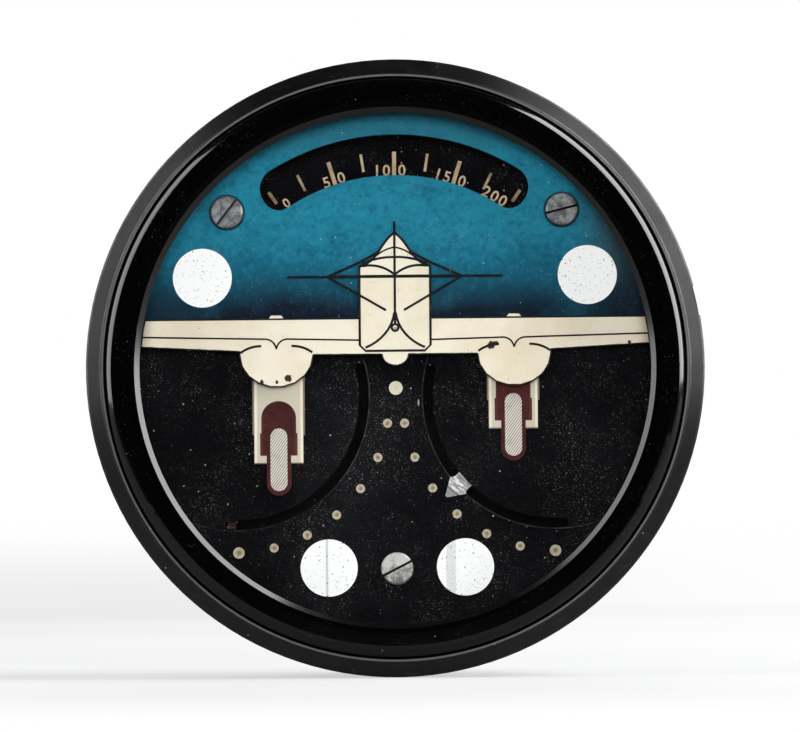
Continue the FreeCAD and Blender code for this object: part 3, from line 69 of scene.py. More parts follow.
# Places and sizes on the instrument, most of them from the frame
DIAL_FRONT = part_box("upper_dial_plate")[0][1]
LOWER_DIAL_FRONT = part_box("lower_dial_plate")[0][1]
BEZEL_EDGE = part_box("bezel_ring")[1][0]
BEZEL_LIP = BEZEL_EDGE - 6.3 * MM
CROWN_START = BEZEL_EDGE - 5.35 * MM
BEVEL_WIDE = 1.05 * MM
BEVEL_LEAN_DEG = 41.0
SHOULDER_LEAN_DEG = 9.0
DRIVE_X = 0.5 * (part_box("right_drive_shaft")[0][0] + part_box("right_drive_shaft")[1][0])
DRIVE_Z = 0.5 * (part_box("right_drive_shaft")[0][2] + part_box("right_drive_shaft")[1][2])
TRACK_EDGE = 28.05 * MM
LEFT_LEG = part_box("left_leg_plate")
LEG_X = -0.5 * (LEFT_LEG[0][0] + LEFT_LEG[1][0])
LEG_HALF = 0.5 * (LEFT_LEG[1][0] - LEFT_LEG[0][0])
LEFT_LEG_LOW = LEFT_LEG[0][2]
RIGHT_LEG_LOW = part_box("right_leg_plate")[0][2]
HULL_BEAD = (0.1 * MM, 8.4 * MM)
HULL_BEAD_R = 0.6 * MM
SCREW_HEAD = 1.5 * MM
SCREW_R = 3.5 * MM
SCREW_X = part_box("dial_screws")[1][0] - SCREW_R
SCREW_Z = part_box("dial_screws")[1][2] - SCREW_R
WING_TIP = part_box("aircraft_relief")[1][0]


class Graph:
    """A material's node tree with short calls for the nodes used here.

    Object coordinates are the shared frame in metres, as every piece's origin is there.
    """

    def __init__(self, name):
        self.material = bpy.data.materials.new(name)
        self.material.use_nodes = True
        self.tree = self.material.node_tree
        self.bsdf = self.tree.nodes["Principled BSDF"]
        self.output = self.tree.nodes["Material Output"]
        coords = self.tree.nodes.new("ShaderNodeTexCoord")
        self.place = coords.outputs["Object"]

    def add(self, kind, **settings):
        node = self.tree.nodes.new("ShaderNode" + kind)
        for key, value in settings.items():
            setattr(node, key, value)
        return node

    def link(self, source, target):
        self.tree.links.new(source, target)

    def feed(self, socket, value):
        """Give an input another node's output, or a plain value."""
        if isinstance(value, bpy.types.NodeSocket):
            self.link(value, socket)
        else:
            socket.default_value = value

    def math(self, operation, a, b=0.0, clamp=False):
        node = self.add("Math", operation=operation, use_clamp=clamp)
        self.feed(node.inputs[0], a)
        self.feed(node.inputs[1], b)
        return node.outputs[0]

    def times(self, *values):
        product = values[0]
        for value in values[1:]:
            product = self.math("MULTIPLY", product, value)
        return product

    def stretched(self, *scales):
        """Object coordinates scaled along x, y and z."""
        mapping = self.add("Mapping")
        mapping.inputs["Scale"].default_value = scales
        self.link(self.place, mapping.inputs["Vector"])
        return mapping.outputs[0]

    def noise(self, scale, detail, rough, vector=None):
        """Cloudy pattern from 0 to 1, with so many clouds to the metre."""
        node = self.add("TexNoise")
        node.inputs["Scale"].default_value = scale
        node.inputs["Detail"].default_value = detail
        node.inputs["Roughness"].default_value = rough
        self.link(vector or self.place, node.inputs["Vector"])
        return node.outputs["Fac"]

    def band(self, value, low, high, out_low=0.0, out_high=1.0):
        """A soft step from one value at low to another at high."""
        node = self.add("MapRange", interpolation_type="SMOOTHSTEP")
        node.inputs["From Min"].default_value = low
        node.inputs["From Max"].default_value = high
        node.inputs["To Min"].default_value = out_low
        node.inputs["To Max"].default_value = out_high
        self.feed(node.inputs["Value"], value)
        return node.outputs["Result"]

    def between(self, value, low, high, soft):
        """1 inside a stretch, falling to 0 over the soft length outside it."""
        rise = self.band(value, low - soft, low)
        return self.times(rise, self.band(value, high, high + soft, 1.0, 0.0))

    def mix(self, factor, a, b):
        """Mix of two colours, each a socket or three numbers."""
        node = self.add("Mix", data_type="RGBA")
        self.feed(node.inputs[0], factor)
        for socket, value in ((node.inputs[6], a), (node.inputs[7], b)):
            if isinstance(value, bpy.types.NodeSocket):
                self.link(value, socket)
            else:
                socket.default_value = (*value, 1.0)
        return node.outputs[2]

    def axes(self):
        """Sockets that give x, y and z."""
        node = self.add("SeparateXYZ")
        self.link(self.place, node.inputs[0])
        return node.outputs

    def radius(self, x0=0.0, z0=0.0, both_sides=False):
        """Distance from a line along Y, or from it and its mirror image."""
        x, _, z = self.axes()
        if both_sides:
            x = self.math("ABSOLUTE", x)
        dx = self.math("SUBTRACT", x, x0)
        dz = self.math("SUBTRACT", z, z0)
        return self.math("SQRT", self.math("ADD", self.times(dx, dx), self.times(dz, dz)))

    def around(self, spread):
        """Coordinates that run along circles about the instrument's axis."""
        x, y, z = self.axes()
        join = self.add("CombineXYZ")
        self.link(self.radius(), join.inputs[0])
        self.link(self.times(self.math("ARCTAN2", z, x), spread), join.inputs[1])
        self.link(y, join.inputs[2])
        return join.outputs[0]

    def specks(self, scale, size, amount, vector=None):
        """Sparse round specks: 1 on a speck, 0 elsewhere."""
        cells = self.add("TexVoronoi")
        cells.inputs["Scale"].default_value = scale
        self.link(vector or self.place, cells.inputs["Vector"])
        near = self.band(cells.outputs["Distance"], size, size * 0.5)
        split = self.add("SeparateColor")
        self.link(cells.outputs["Color"], split.inputs[0])
        chosen = self.math("LESS_THAN", split.outputs[0], amount)
        return self.times(near, chosen)

    def dust(self, colour, strength, amount):
        """Fine and coarse pale dust over a colour."""
        pale = srgb(206, 200, 190)
        clump = self.band(self.noise(90, 4, 0.65), 0.42, 0.66, 0.12, 1.0)
        powder = self.times(self.specks(4600, 0.42, 0.2 * amount), 0.3 * strength, clump)
        fine = self.times(self.specks(2600, 0.3, 0.16 * amount), 0.4 * strength, clump)
        middle = self.times(self.specks(1500, 0.2, 0.1 * amount), 0.6 * strength, clump)
        coarse = self.times(self.specks(640, 0.13, 0.09 * amount), strength)
        upright = self.stretched(1.0, 1.0, 0.25)
        lint = self.times(self.specks(420, 0.1, 0.05 * amount, upright), 0.7 * strength)
        for layer in (powder, fine, middle, coarse, lint):
            colour = self.mix(layer, colour, pale)
        return colour

    def bump(self, height, strength, distance, normal=None):
        node = self.add("Bump")
        if normal:
            self.link(normal, node.inputs["Normal"])
        node.inputs["Strength"].default_value = strength
        node.inputs["Distance"].default_value = distance
        self.link(height, node.inputs["Height"])
        self.link(node.outputs[0], self.bsdf.inputs["Normal"])

    def blend(self, factor, a, b):
        """Mix of two directions."""
        node = self.add("Mix", data_type="VECTOR")
        self.link(factor, node.inputs[0])
        self.link(a, node.inputs[4])
        self.link(b, node.inputs[5])
        return node.outputs[1]

    def leaning(self, lean_deg):
        """Direction that leans from the front towards the instrument's axis."""
        x, _, z = self.axes()
        inward = self.math("DIVIDE", -math.sin(math.radians(lean_deg)), self.radius())
        join = self.add("CombineXYZ")
        self.link(self.times(x, inward), join.inputs[0])
        join.inputs[1].default_value = -math.cos(math.radians(lean_deg))
        self.link(self.times(z, inward), join.inputs[2])
        return join.outputs[0]

    def turned_finish(self, amount):
        """Stretch highlights across the grooves that a lathe leaves."""
        tangent = self.add("Tangent", direction_type="RADIAL", axis="Y")
        self.link(tangent.outputs[0], self.bsdf.inputs["Tangent"])
        self.bsdf.inputs["Anisotropic"].default_value = amount
        self.bsdf.inputs["Anisotropic Rotation"].default_value = 0.25

    def layer(self, factor, under, over):
        """One shader laid over another by a factor."""
        node = self.add("MixShader")
        self.link(factor, node.inputs[0])
        self.link(under.outputs[0], node.inputs[1])
        self.link(over.outputs[0], node.inputs[2])
        return node

    def surface(self, colour, rough, metal=0.0, **others):
        """Set the main values, and any others by their socket's name."""
        self.feed(self.bsdf.inputs["Base Color"], colour)
        self.feed(self.bsdf.inputs["Roughness"], rough)
        self.bsdf.inputs["Metallic"].default_value = metal
        for key, value in others.items():
            self.bsdf.inputs[key].default_value = value
        return self.material


def srgb(r, g, b):
    """A colour as it is seen in a picture, in 0 to 255, made linear."""
    out = []
    for c in (r, g, b):
        c /= 255.0
        out.append(c / 12.92 if c <= 0.04045 else ((c + 0.055) / 1.055) ** 2.4)
    return tuple(out)


# Case and bezel

# The painted highlight along the fine bead round the bezel: its two radii, and the step in depth
# that it starts at
BEAD_HIGHLIGHT_INNER = BEZEL_EDGE + 0.3 * MM
BEAD_HIGHLIGHT_OUTER = BEZEL_EDGE + 0.62 * MM
BEAD_HIGHLIGHT_DEPTH = (-8.9 * MM, -9.1 * MM)
BEAD_HIGHLIGHT_SOFT = 0.12 * MM

# Widths over which the bevel starts and ends
BEVEL_START_SOFT = 0.3 * MM
BEVEL_SOFT = 0.2 * MM


def bakelite_satin():
    """Turned matt black, with circular grooves and a painted highlight along its bead."""
    g = Graph("bakelite_satin")
    grooves = g.noise(5200, 2, 0.6, g.around(0.0006))
    wear = g.noise(160, 4, 0.6)
    colour = g.mix(g.band(wear, 0.35, 0.75), srgb(2, 2, 3), srgb(8, 7, 9))
    scuffs = g.band(g.noise(900, 4, 0.7, g.around(0.012)), 0.6, 0.74, 0.0, 0.3)
    colour = g.mix(scuffs, colour, srgb(70, 68, 74))
    # Painted highlight: a paler line along the bead, where its rounded edge catches the lamps.
    bead = g.between(g.radius(), BEAD_HIGHLIGHT_INNER, BEAD_HIGHLIGHT_OUTER, BEAD_HIGHLIGHT_SOFT)
    bead = g.times(bead, g.band(g.axes()["Y"], *BEAD_HIGHLIGHT_DEPTH))
    colour = g.mix(g.times(bead, 0.5), colour, srgb(118, 116, 116))
    colour = g.dust(colour, 0.3, 0.3)
    g.bump(grooves, 0.25, 0.03 * MM)
    g.turned_finish(0.9)
    rough = g.band(wear, 0.3, 0.7, 0.46, 0.56)
    return g.surface(colour, rough, **{"Specular IOR Level": 1.0})


def bakelite_gloss():
    """Polished black, with a satin bevel that reflects like a shallow cone."""
    g = Graph("bakelite_gloss")
    radius = g.radius()
    start = BEZEL_LIP - BEVEL_WIDE
    inner = g.band(radius, start, start + BEVEL_START_SOFT)
    bevel = g.times(inner, g.band(radius, BEZEL_LIP, BEZEL_LIP + BEVEL_SOFT, 1.0, 0.0))
    fine = g.noise(2600, 3, 0.6, g.around(0.006))
    smear = g.noise(90, 4, 0.6)
    colour = g.mix(bevel, srgb(1, 1, 1), srgb(6, 6, 6))
    colour = g.dust(colour, 0.24, 0.2)
    rough = g.math("ADD", g.band(smear, 0.35, 0.8, 0.07, 0.15), g.times(bevel, 0.12))
    # The inner edge of the ring is polished to a shallow cone with a flat shoulder.
    outside = g.band(radius, CROWN_START, CROWN_START + BEVEL_SOFT)
    shoulder = g.times(inner, g.math("SUBTRACT", 1.0, outside))
    polished = g.blend(bevel, g.leaning(SHOULDER_LEAN_DEG), g.leaning(BEVEL_LEAN_DEG))
    normal = g.blend(shoulder, g.add("NewGeometry").outputs["Normal"], polished)
    g.bump(fine, 0.04, 0.03 * MM, normal)
    return g.surface(colour, rough)


def paint(name, base, worn, rough, blotch=70):
    """A paint with blotches of a second colour, so many to the metre."""
    g = Graph(name)
    tone = g.noise(blotch, 4, 0.6)
    colour = g.mix(g.band(tone, 0.35, 0.75), base, worn)
    fine = g.noise(1400, 3, 0.6)
    g.bump(fine, 0.15, 0.05 * MM)
    return g.surface(colour, g.band(fine, 0.3, 0.7, rough - 0.06, rough + 0.08))


# Dial paints

# Stretches over which the blue changes: in height, with a band of painted light at the top, and
# sideways at its two ends
SKY_NAVY_TO_TEAL = (11 * MM, 25 * MM)
SKY_TEAL_TO_PALE = (20 * MM, 34 * MM)
SKY_TOP_LIGHT = (44 * MM, 50 * MM)
SKY_RIGHT_END = (36 * MM, 48 * MM)
SKY_RIGHT_RISE = (14 * MM, 26 * MM)
SKY_LEFT_END = (-38 * MM, -50 * MM)
SKY_LEFT_DROP = (24 * MM, 12 * MM)
SCREW_SHADE = (SCREW_R + 0.5 * MM, SCREW_R + 0.2 * MM)


def sky_paint():
    """Teal brushed over navy, darkest by the wing and palest at the top, where light is painted
    along the edge, with painted shadow round the screws.
    """
    g = Graph("sky_paint")
    x, _, z = g.axes()
    top = g.band(z, *SKY_TEAL_TO_PALE)
    low = g.band(z, *SKY_NAVY_TO_TEAL)
    cloud = g.noise(46, 5, 0.62)
    sway = g.times(g.math("SUBTRACT", cloud, 0.5), 0.8)
    low = g.math("ADD", low, sway, True)
    top = g.math("ADD", top, sway, True)
    colour = g.mix(low, srgb(9, 21, 37), srgb(18, 102, 128))
    colour = g.mix(top, colour, srgb(30, 130, 156))
    strokes = g.noise(210, 5, 0.75, g.stretched(1.0, 1.0, 1.6))
    colour = g.mix(g.times(g.band(strokes, 0.42, 0.68, 0.0, 0.45), low), colour, srgb(8, 72, 100))
    mottle = g.noise(800, 4, 0.75)
    colour = g.mix(g.times(g.band(mottle, 0.5, 0.7, 0.0, 0.45), low), colour, srgb(44, 142, 166))
    colour = g.mix(g.band(mottle, 0.5, 0.3, 0.0, 0.4), colour, srgb(10, 50, 70))
    scuffs = g.band(g.noise(330, 5, 0.8), 0.58, 0.7, 0.0, 0.35)
    colour = g.mix(scuffs, colour, srgb(50, 62, 66))
    # Painted light: a paler grey-teal band along the top edge of the sky.
    top_light = g.band(z, *SKY_TOP_LIGHT, 0.0, 0.55)
    colour = g.mix(top_light, colour, srgb(46, 108, 128))
    right = g.band(x, *SKY_RIGHT_END, 0.0, 0.85)
    shade = g.mix(g.band(z, *SKY_RIGHT_RISE), srgb(10, 17, 28), srgb(44, 54, 58))
    colour = g.mix(right, colour, shade)
    left = g.times(g.band(x, *SKY_LEFT_END, 0.0, 0.7), g.band(z, *SKY_LEFT_DROP))
    colour = g.mix(left, colour, srgb(12, 34, 48))
    # Painted shadow: a dark ring round each upper screw head, as its recess would cast.
    rim = g.radius(SCREW_X, SCREW_Z, both_sides=True)
    rim = g.band(rim, *SCREW_SHADE, 0.0, 0.85)
    colour = g.mix(rim, colour, srgb(12, 22, 28))
    colour = g.dust(colour, 0.6, 0.9)
    dark = g.specks(760, 0.14, 0.2)
    colour = g.mix(g.times(dark, 0.7), colour, srgb(14, 24, 32))
    g.bump(mottle, 0.25, 0.06 * MM)
    rough = g.band(mottle, 0.3, 0.7, 0.42, 0.56)
    return g.surface(colour, rough, **{"Specular IOR Level": 0.2})


# Chipped places in the cream enamel: x, z and radius in millimetres
CHIPS = (
    (-22.75, -1.75, 0.85), (-28.35, -2.5, 0.5), (-25.2, -2.6, 0.42),
    (20.3, 4.9, 0.95), (21.3, 5.3, 0.6), (49.6, 5.3, 0.4),
)

# How far a chip's edge strays, and the share of a chip that is fully bare
CHIP_RAGGED = 0.9 * MM
CHIP_BARE = 0.75

# The depth that parts the wing from the leg plates, the painted shade on the leg faces, the edges
# of the legs with a painted shadow line along their feet, and the darker wing tips
WING_TO_LEG = (0.7 * MM, 0.9 * MM)
LEG_FACE = (LEG_HALF - 0.8 * MM, LEG_HALF - 1.1 * MM)
LEG_BORDER = (LEG_HALF - 0.5 * MM, LEG_HALF - 0.25 * MM)
FOOT_BORDER = (0.3 * MM, 0.12 * MM)
LEFT_SIDE = (0.1 * MM, 0.0)
RIGHT_SIDE = (0.0, 0.1 * MM)
TIP_DARKENING = 3 * MM


def beside_leg(g, x):
    """Sideways distance from the middle of the nearer leg."""
    return g.math("ABSOLUTE", g.math("SUBTRACT", g.math("ABSOLUTE", x), LEG_X))


def chipped(g):
    """1 where the enamel is chipped."""
    ragged = g.times(g.math("SUBTRACT", g.noise(1500, 3, 0.7), 0.5), CHIP_RAGGED)
    chips = 0.0
    for x, z, size in CHIPS:
        reach = g.math("ADD", g.radius(x * MM, z * MM), ragged)
        chip = g.band(reach, size * MM, CHIP_BARE * size * MM)
        chips = g.math("MAXIMUM", chips, chip)
    return chips


def leg_edges(g, x, z):
    """1 along the sides of either leg plate, where its paint is worn brown, and along its foot,
    where a shadow line is painted.
    """
    edges = g.band(beside_leg(g, x), *LEG_BORDER)
    for low, side in ((LEFT_LEG_LOW, LEFT_SIDE), (RIGHT_LEG_LOW, RIGHT_SIDE)):
        foot_shadow = g.band(z, low + FOOT_BORDER[0], low + FOOT_BORDER[1])
        edges = g.math("MAXIMUM", edges, g.times(g.band(x, *side), foot_shadow))
    return edges


def cream_paint():
    """Chipped cream enamel on the wing, with painted shade on the leg plates."""
    g = Graph("cream_paint")
    x, y, z = g.axes()
    on_leg = g.band(y, *WING_TO_LEG)
    on_wing = g.math("SUBTRACT", 1.0, on_leg)
    tone = g.noise(60, 4, 0.6)
    colour = g.mix(g.band(tone, 0.35, 0.7), srgb(238, 229, 209), srgb(227, 214, 190))
    faint = g.noise(520, 4, 0.7)
    colour = g.mix(g.band(faint, 0.6, 0.76, 0.0, 0.55), colour, srgb(186, 168, 140))
    small = g.band(g.noise(640, 3, 0.7), 0.745, 0.765)
    chips = g.math("MAXIMUM", g.times(chipped(g), on_wing), small)
    colour = g.mix(chips, colour, srgb(58, 38, 30))
    bead = g.band(g.radius(*HULL_BEAD), HULL_BEAD_R, 0.75 * HULL_BEAD_R)
    colour = g.mix(g.times(bead, on_wing), colour, srgb(150, 150, 152))
    # The leg plates have painted shade over the face, which leaves a pale bevelled edge, and a
    # brown line round it: worn paint along the sides and a painted shadow along the foot.
    face = g.band(beside_leg(g, x), *LEG_FACE, 0.0, 0.75)
    colour = g.mix(g.times(on_leg, face), colour, srgb(192, 184, 166))
    colour = g.mix(g.times(leg_edges(g, x, z), on_leg, 0.85), colour, srgb(92, 62, 46))
    # Darker brown over the last few millimetres towards each wing tip.
    tip = g.band(g.math("ABSOLUTE", x), WING_TIP - TIP_DARKENING, WING_TIP, 0.0, 0.35)
    colour = g.mix(tip, colour, srgb(120, 100, 78))
    dirt = g.specks(1300, 0.22, 0.05)
    colour = g.mix(g.times(dirt, 0.7), colour, srgb(110, 92, 72))
    g.bump(chips, 0.3, -0.06 * MM)
    return g.surface(colour, 0.45)


# The painted glint along the outer edge of each curved slot
GLINT_INNER = TRACK_EDGE + 0.04 * MM
GLINT_OUTER = TRACK_EDGE + 0.16 * MM
GLINT_SOFT = 0.08 * MM


def dial_black():
    """Dusty black with a painted glint beside each curved slot."""
    g = Graph("dial_black")
    tone = g.noise(45, 4, 0.6)
    colour = g.mix(g.band(tone, 0.3, 0.75), srgb(6, 6, 8), srgb(13, 13, 16))
    haze = g.band(g.noise(40, 5, 0.7), 0.5, 0.75, 0.0, 0.5)
    colour = g.mix(haze, colour, srgb(26, 27, 30))
    # Painted highlight: a thin pale glint along each slot's outer edge, made patchy by a noise.
    track = g.radius(DRIVE_X, DRIVE_Z, both_sides=True)
    glint = g.between(track, GLINT_INNER, GLINT_OUTER, GLINT_SOFT)
    worn = g.band(g.noise(160, 3, 0.6), 0.4, 0.65, 0.1, 0.6)
    colour = g.mix(g.times(glint, worn), colour, srgb(78, 78, 80))
    colour = g.dust(colour, 0.85, 1.0)
    fine = g.noise(1200, 4, 0.6)
    g.bump(fine, 0.2, 0.05 * MM)
    rough = g.band(tone, 0.3, 0.7, 0.4, 0.55)
    return g.surface(colour, rough, **{"Specular IOR Level": 0.1})


# Distance from the middle of the scale over which painted shade turns its ivory paint brown
SCALE_END_SHADE = (5 * MM, 30 * MM)


def scale_paint():
    """Ivory figures with painted shade that turns them brown towards both ends of the scale."""
    g = Graph("scale_paint")
    tone = g.noise(400, 4, 0.6)
    colour = g.mix(g.band(tone, 0.35, 0.75), srgb(226, 202, 168), srgb(188, 154, 118))
    # Painted shade: the figures darken unevenly towards both ends, where the window's edges shade
    # them.
    end_shade = g.band(g.math("ABSOLUTE", g.axes()["X"]), *SCALE_END_SHADE, 0.0, 0.75)
    worn = g.math("ADD", end_shade, g.band(g.noise(700, 4, 0.7), 0.4, 0.7, -0.15, 0.2), True)
    colour = g.mix(worn, colour, srgb(92, 66, 50))
    return g.surface(colour, 0.55)


# The tyre's grooves: their pitch, and the direction square to them
GROOVE_PITCH = 0.45 * MM
GROOVE_ACROSS = (0.82, 0.57)


def tyre_paint():
    """Pale paint cut by fine slanting grooves."""
    g = Graph("tyre_paint")
    x, _, z = g.axes()
    slant = g.math("SUBTRACT", g.times(x, GROOVE_ACROSS[0]), g.times(z, GROOVE_ACROSS[1]))
    wave = g.math("SINE", g.times(slant, 2 * math.pi / GROOVE_PITCH))
    groove = g.band(wave, -0.15, -0.85)
    colour = g.mix(groove, srgb(222, 214, 204), srgb(108, 98, 92))
    dirt = g.noise(420, 3, 0.6)
    colour = g.mix(g.band(dirt, 0.5, 0.8, 0.0, 0.4), colour, srgb(140, 122, 114))
    g.bump(groove, 0.5, -0.1 * MM)
    return g.surface(colour, 0.5)


# Distance from the middle of a mudguard over which a lighter brown highlight is painted along its
# sides
GUARD_HIGHLIGHT = (3.2 * MM, 3.6 * MM)


def maroon_paint():
    """Dull maroon, with a lighter brown painted highlight along the sides of the mudguard."""
    g = Graph("maroon_paint")
    tone = g.noise(260, 4, 0.6)
    colour = g.mix(g.band(tone, 0.35, 0.75), srgb(76, 32, 32), srgb(52, 24, 24))
    # Painted highlight: the sides of the mudguard are lighter brown.
    edge = g.band(beside_leg(g, g.axes()["X"]), *GUARD_HIGHLIGHT, 0.0, 0.7)
    colour = g.mix(edge, colour, srgb(84, 52, 42))
    colour = g.dust(colour, 0.4, 0.4)
    g.bump(g.noise(1400, 3, 0.6), 0.15, 0.05 * MM)
    return g.surface(colour, 0.48, **{"Specular IOR Level": 0.25})


# The depth at which the painted shade in a dot's dished middle gives way to its pale rim, and the
# height above which a dot is all pale
DOT_SHADE_EDGE = (LOWER_DIAL_FRONT - 0.08 * MM, LOWER_DIAL_FRONT - 0.13 * MM)
TOP_DOT = (-8 * MM, -6 * MM)


def luminous_paint():
    """Dished dots with a pale rim and painted shade in the middle, and one pale dot at the top.
    """
    g = Graph("luminous_paint")
    _, y, z = g.axes()
    tone = g.noise(1500, 3, 0.6)
    # Painted shade: deeper in the dish the dot's colour is darker.
    rim = g.band(y, *DOT_SHADE_EDGE)
    colour = g.mix(rim, srgb(132, 118, 92), srgb(184, 174, 152))
    colour = g.mix(g.band(tone, 0.5, 0.72, 0.0, 0.6), colour, srgb(98, 84, 64))
    colour = g.mix(g.band(z, *TOP_DOT, 0.0, 0.85), colour, srgb(216, 208, 190))
    g.bump(tone, 0.4, 0.08 * MM)
    return g.surface(colour, 0.6)


# Metals, lamps and glass

# The painted shade in the slots of the dial screws, by depth, and where the left one is told from
# the others
SCREW_SLOT = (0.4 * MM, 1.3 * MM)
SCREW_SLOT_SOFT = 0.2 * MM
LEFT_SCREW = (-10 * MM, -14 * MM)
LOWER_SCREW = (1 * MM, -1 * MM)

# The right pointer's ridge, where a painted highlight meets the shaded tab, with painted shade
# along the crease: its direction square to the crease, its place and its softness
RIDGE_ACROSS = (0.659, 0.753)
RIDGE_AT = -11.5 * MM
RIDGE_SOFT = 0.3 * MM
CREASE_WIDE = 0.15 * MM
CREASE_SOFT = 0.12 * MM


def metal(name, bright, dull, rough):
    """Bare metal with duller patches and dark stains."""
    g = Graph(name)
    tone = g.noise(300, 4, 0.65)
    fine = g.noise(2400, 3, 0.6)
    colour = g.mix(g.band(tone, 0.35, 0.7), bright, dull)
    stain = g.band(g.noise(700, 3, 0.7), 0.62, 0.72, 0.0, 0.3)
    colour = g.mix(stain, colour, tuple(0.25 * c for c in dull))
    g.bump(fine, 0.25, 0.05 * MM)
    return g.surface(colour, g.band(fine, 0.3, 0.7, rough - 0.08, rough + 0.12), 1.0)


def worn_steel():
    """Grey worn steel, painted paler on the lower screw as light, with painted shade in the slots
    of the dial screws.
    """
    g = Graph("worn_steel")
    x, y, z = g.axes()
    # Painted light: the lower screw gets a paler copy of the steel's colours than the upper two.
    low = g.band(z, *LOWER_SCREW)
    tone = g.noise(420, 5, 0.7)
    upper = g.mix(g.band(tone, 0.4, 0.62), srgb(190, 191, 193), srgb(112, 113, 117))
    lower = g.mix(g.band(tone, 0.4, 0.62), srgb(242, 240, 236), srgb(140, 138, 133))
    colour = g.mix(low, upper, lower)
    # Painted shade: the slots darken with depth, less in the left screw.
    head = g.math("ADD", DIAL_FRONT - SCREW_HEAD, g.times(low, LOWER_DIAL_FRONT - DIAL_FRONT))
    depth = g.math("SUBTRACT", y, head)
    slot = g.between(depth, *SCREW_SLOT, SCREW_SLOT_SOFT)
    slot_shade_colour = g.mix(g.band(x, *LEFT_SCREW), srgb(24, 22, 22), srgb(78, 78, 80))
    colour = g.mix(slot, colour, slot_shade_colour)
    fine = g.noise(1500, 4, 0.65)
    g.bump(fine, 0.4, 0.06 * MM)
    return g.surface(colour, g.band(fine, 0.3, 0.7, 0.3, 0.5), 0.55)


def pointer_aluminium():
    """Pale metal with a painted highlight on the streaked ridge side, a greyer tab as its shaded
    side, and painted shade in the crease.
    """
    g = Graph("pointer_aluminium")
    x, _, z = g.axes()
    across = g.math("ADD", g.times(x, RIDGE_ACROSS[0]), g.times(z, RIDGE_ACROSS[1]))
    along = g.math("SUBTRACT", g.times(x, RIDGE_ACROSS[1]), g.times(z, RIDGE_ACROSS[0]))
    join = g.add("CombineXYZ")
    g.link(across, join.inputs[0])
    g.link(g.times(along, 0.2), join.inputs[1])
    streaks = g.noise(2600, 3, 0.6, join.outputs[0])
    # Painted light: one side of the ridge is highlighted, the tab side is greyer as shade.
    highlight_side = g.band(across, RIDGE_AT, RIDGE_AT + RIDGE_SOFT)
    bright = g.mix(g.band(streaks, 0.4, 0.6), srgb(244, 244, 244), srgb(150, 150, 152))
    grey = g.mix(g.band(streaks, 0.4, 0.65), srgb(172, 170, 168), srgb(134, 132, 130))
    colour = g.mix(highlight_side, grey, bright)
    crease_shade = g.between(across, RIDGE_AT - CREASE_WIDE, RIDGE_AT, CREASE_SOFT)
    colour = g.mix(g.times(crease_shade, 0.6), colour, srgb(60, 56, 54))
    g.bump(streaks, 0.3, 0.05 * MM)
    return g.surface(colour, 0.36, 0.3)


# The lower two lamp windows: a thin line across the left one and a strip across the right
LOWER_WINDOWS = (0.0, -10 * MM)
WINDOW_LINE = (-15.05 * MM, -14.75 * MM)
WINDOW_LINE_SOFT = 0.15 * MM
WINDOW_STRIP = (10.5 * MM, 12.3 * MM)
WINDOW_STRIP_SOFT = 0.25 * MM


def opal_white():
    """Opal lamp windows with dust, the faint lines of the lower two, and a faint painted glow."""
    g = Graph("opal_white")
    x, _, z = g.axes()
    tone = g.noise(60, 2, 0.5)
    colour = g.mix(g.band(tone, 0.3, 0.8), (0.96, 0.96, 0.955), (0.93, 0.93, 0.925))
    lower = g.band(z, *LOWER_WINDOWS)
    line = g.times(g.between(x, *WINDOW_LINE, WINDOW_LINE_SOFT), lower)
    colour = g.mix(g.times(line, 0.42), colour, srgb(120, 120, 120))
    strip = g.times(g.between(x, *WINDOW_STRIP, WINDOW_STRIP_SOFT), lower)
    colour = g.mix(g.times(strip, 0.4), colour, srgb(176, 176, 172))
    colour = g.mix(g.specks(1000, 0.17, 0.6), colour, srgb(44, 40, 38))
    colour = g.mix(g.times(g.specks(2200, 0.26, 0.4), 0.7), colour, srgb(84, 78, 72))
    # Painted light: a faint glow of the window's own colour, though no lamp is lit.
    g.feed(g.bsdf.inputs["Emission Color"], colour)
    return g.surface(colour, 0.25, **{"Emission Strength": 0.04})


# Share of light that the pane reflects: straight on, and what is added at a glancing view
PANE_SHEEN = 0.018
PANE_GLANCE = 0.8


def clear_glass():
    """Thin clear pane: see-through, with a faint sheen and dust."""
    g = Graph("clear_glass")
    clear = g.add("BsdfTransparent")
    clear.inputs[0].default_value = (0.985, 0.99, 0.988, 1.0)
    gloss = g.add("BsdfGlossy")
    gloss.inputs["Roughness"].default_value = 0.02
    slant = g.add("LayerWeight")
    slant.inputs["Blend"].default_value = 0.5
    glance = g.times(g.math("POWER", slant.outputs["Facing"], 5.0), PANE_GLANCE)
    pane = g.layer(g.math("ADD", glance, PANE_SHEEN), clear, gloss)
    film = g.add("BsdfDiffuse")
    film.inputs[0].default_value = (0.6, 0.6, 0.58, 1.0)
    dusty = g.layer(g.times(g.specks(1100, 0.1, 0.1), 0.7), pane, film)
    g.link(dusty.outputs[0], g.output.inputs[0])
    g.tree.nodes.remove(g.bsdf)
    return g.material


def bulb_glass():
    """Clear glass of the lamp bulbs, behind the windows."""
    g = Graph("bulb_glass")
    tone = g.noise(500, 2, 0.5)
    colour = g.mix(g.band(tone, 0.3, 0.7), (0.9, 0.9, 0.88), (0.8, 0.8, 0.77))
    return g.surface(colour, 0.2, **{"Transmission Weight": 0.6})


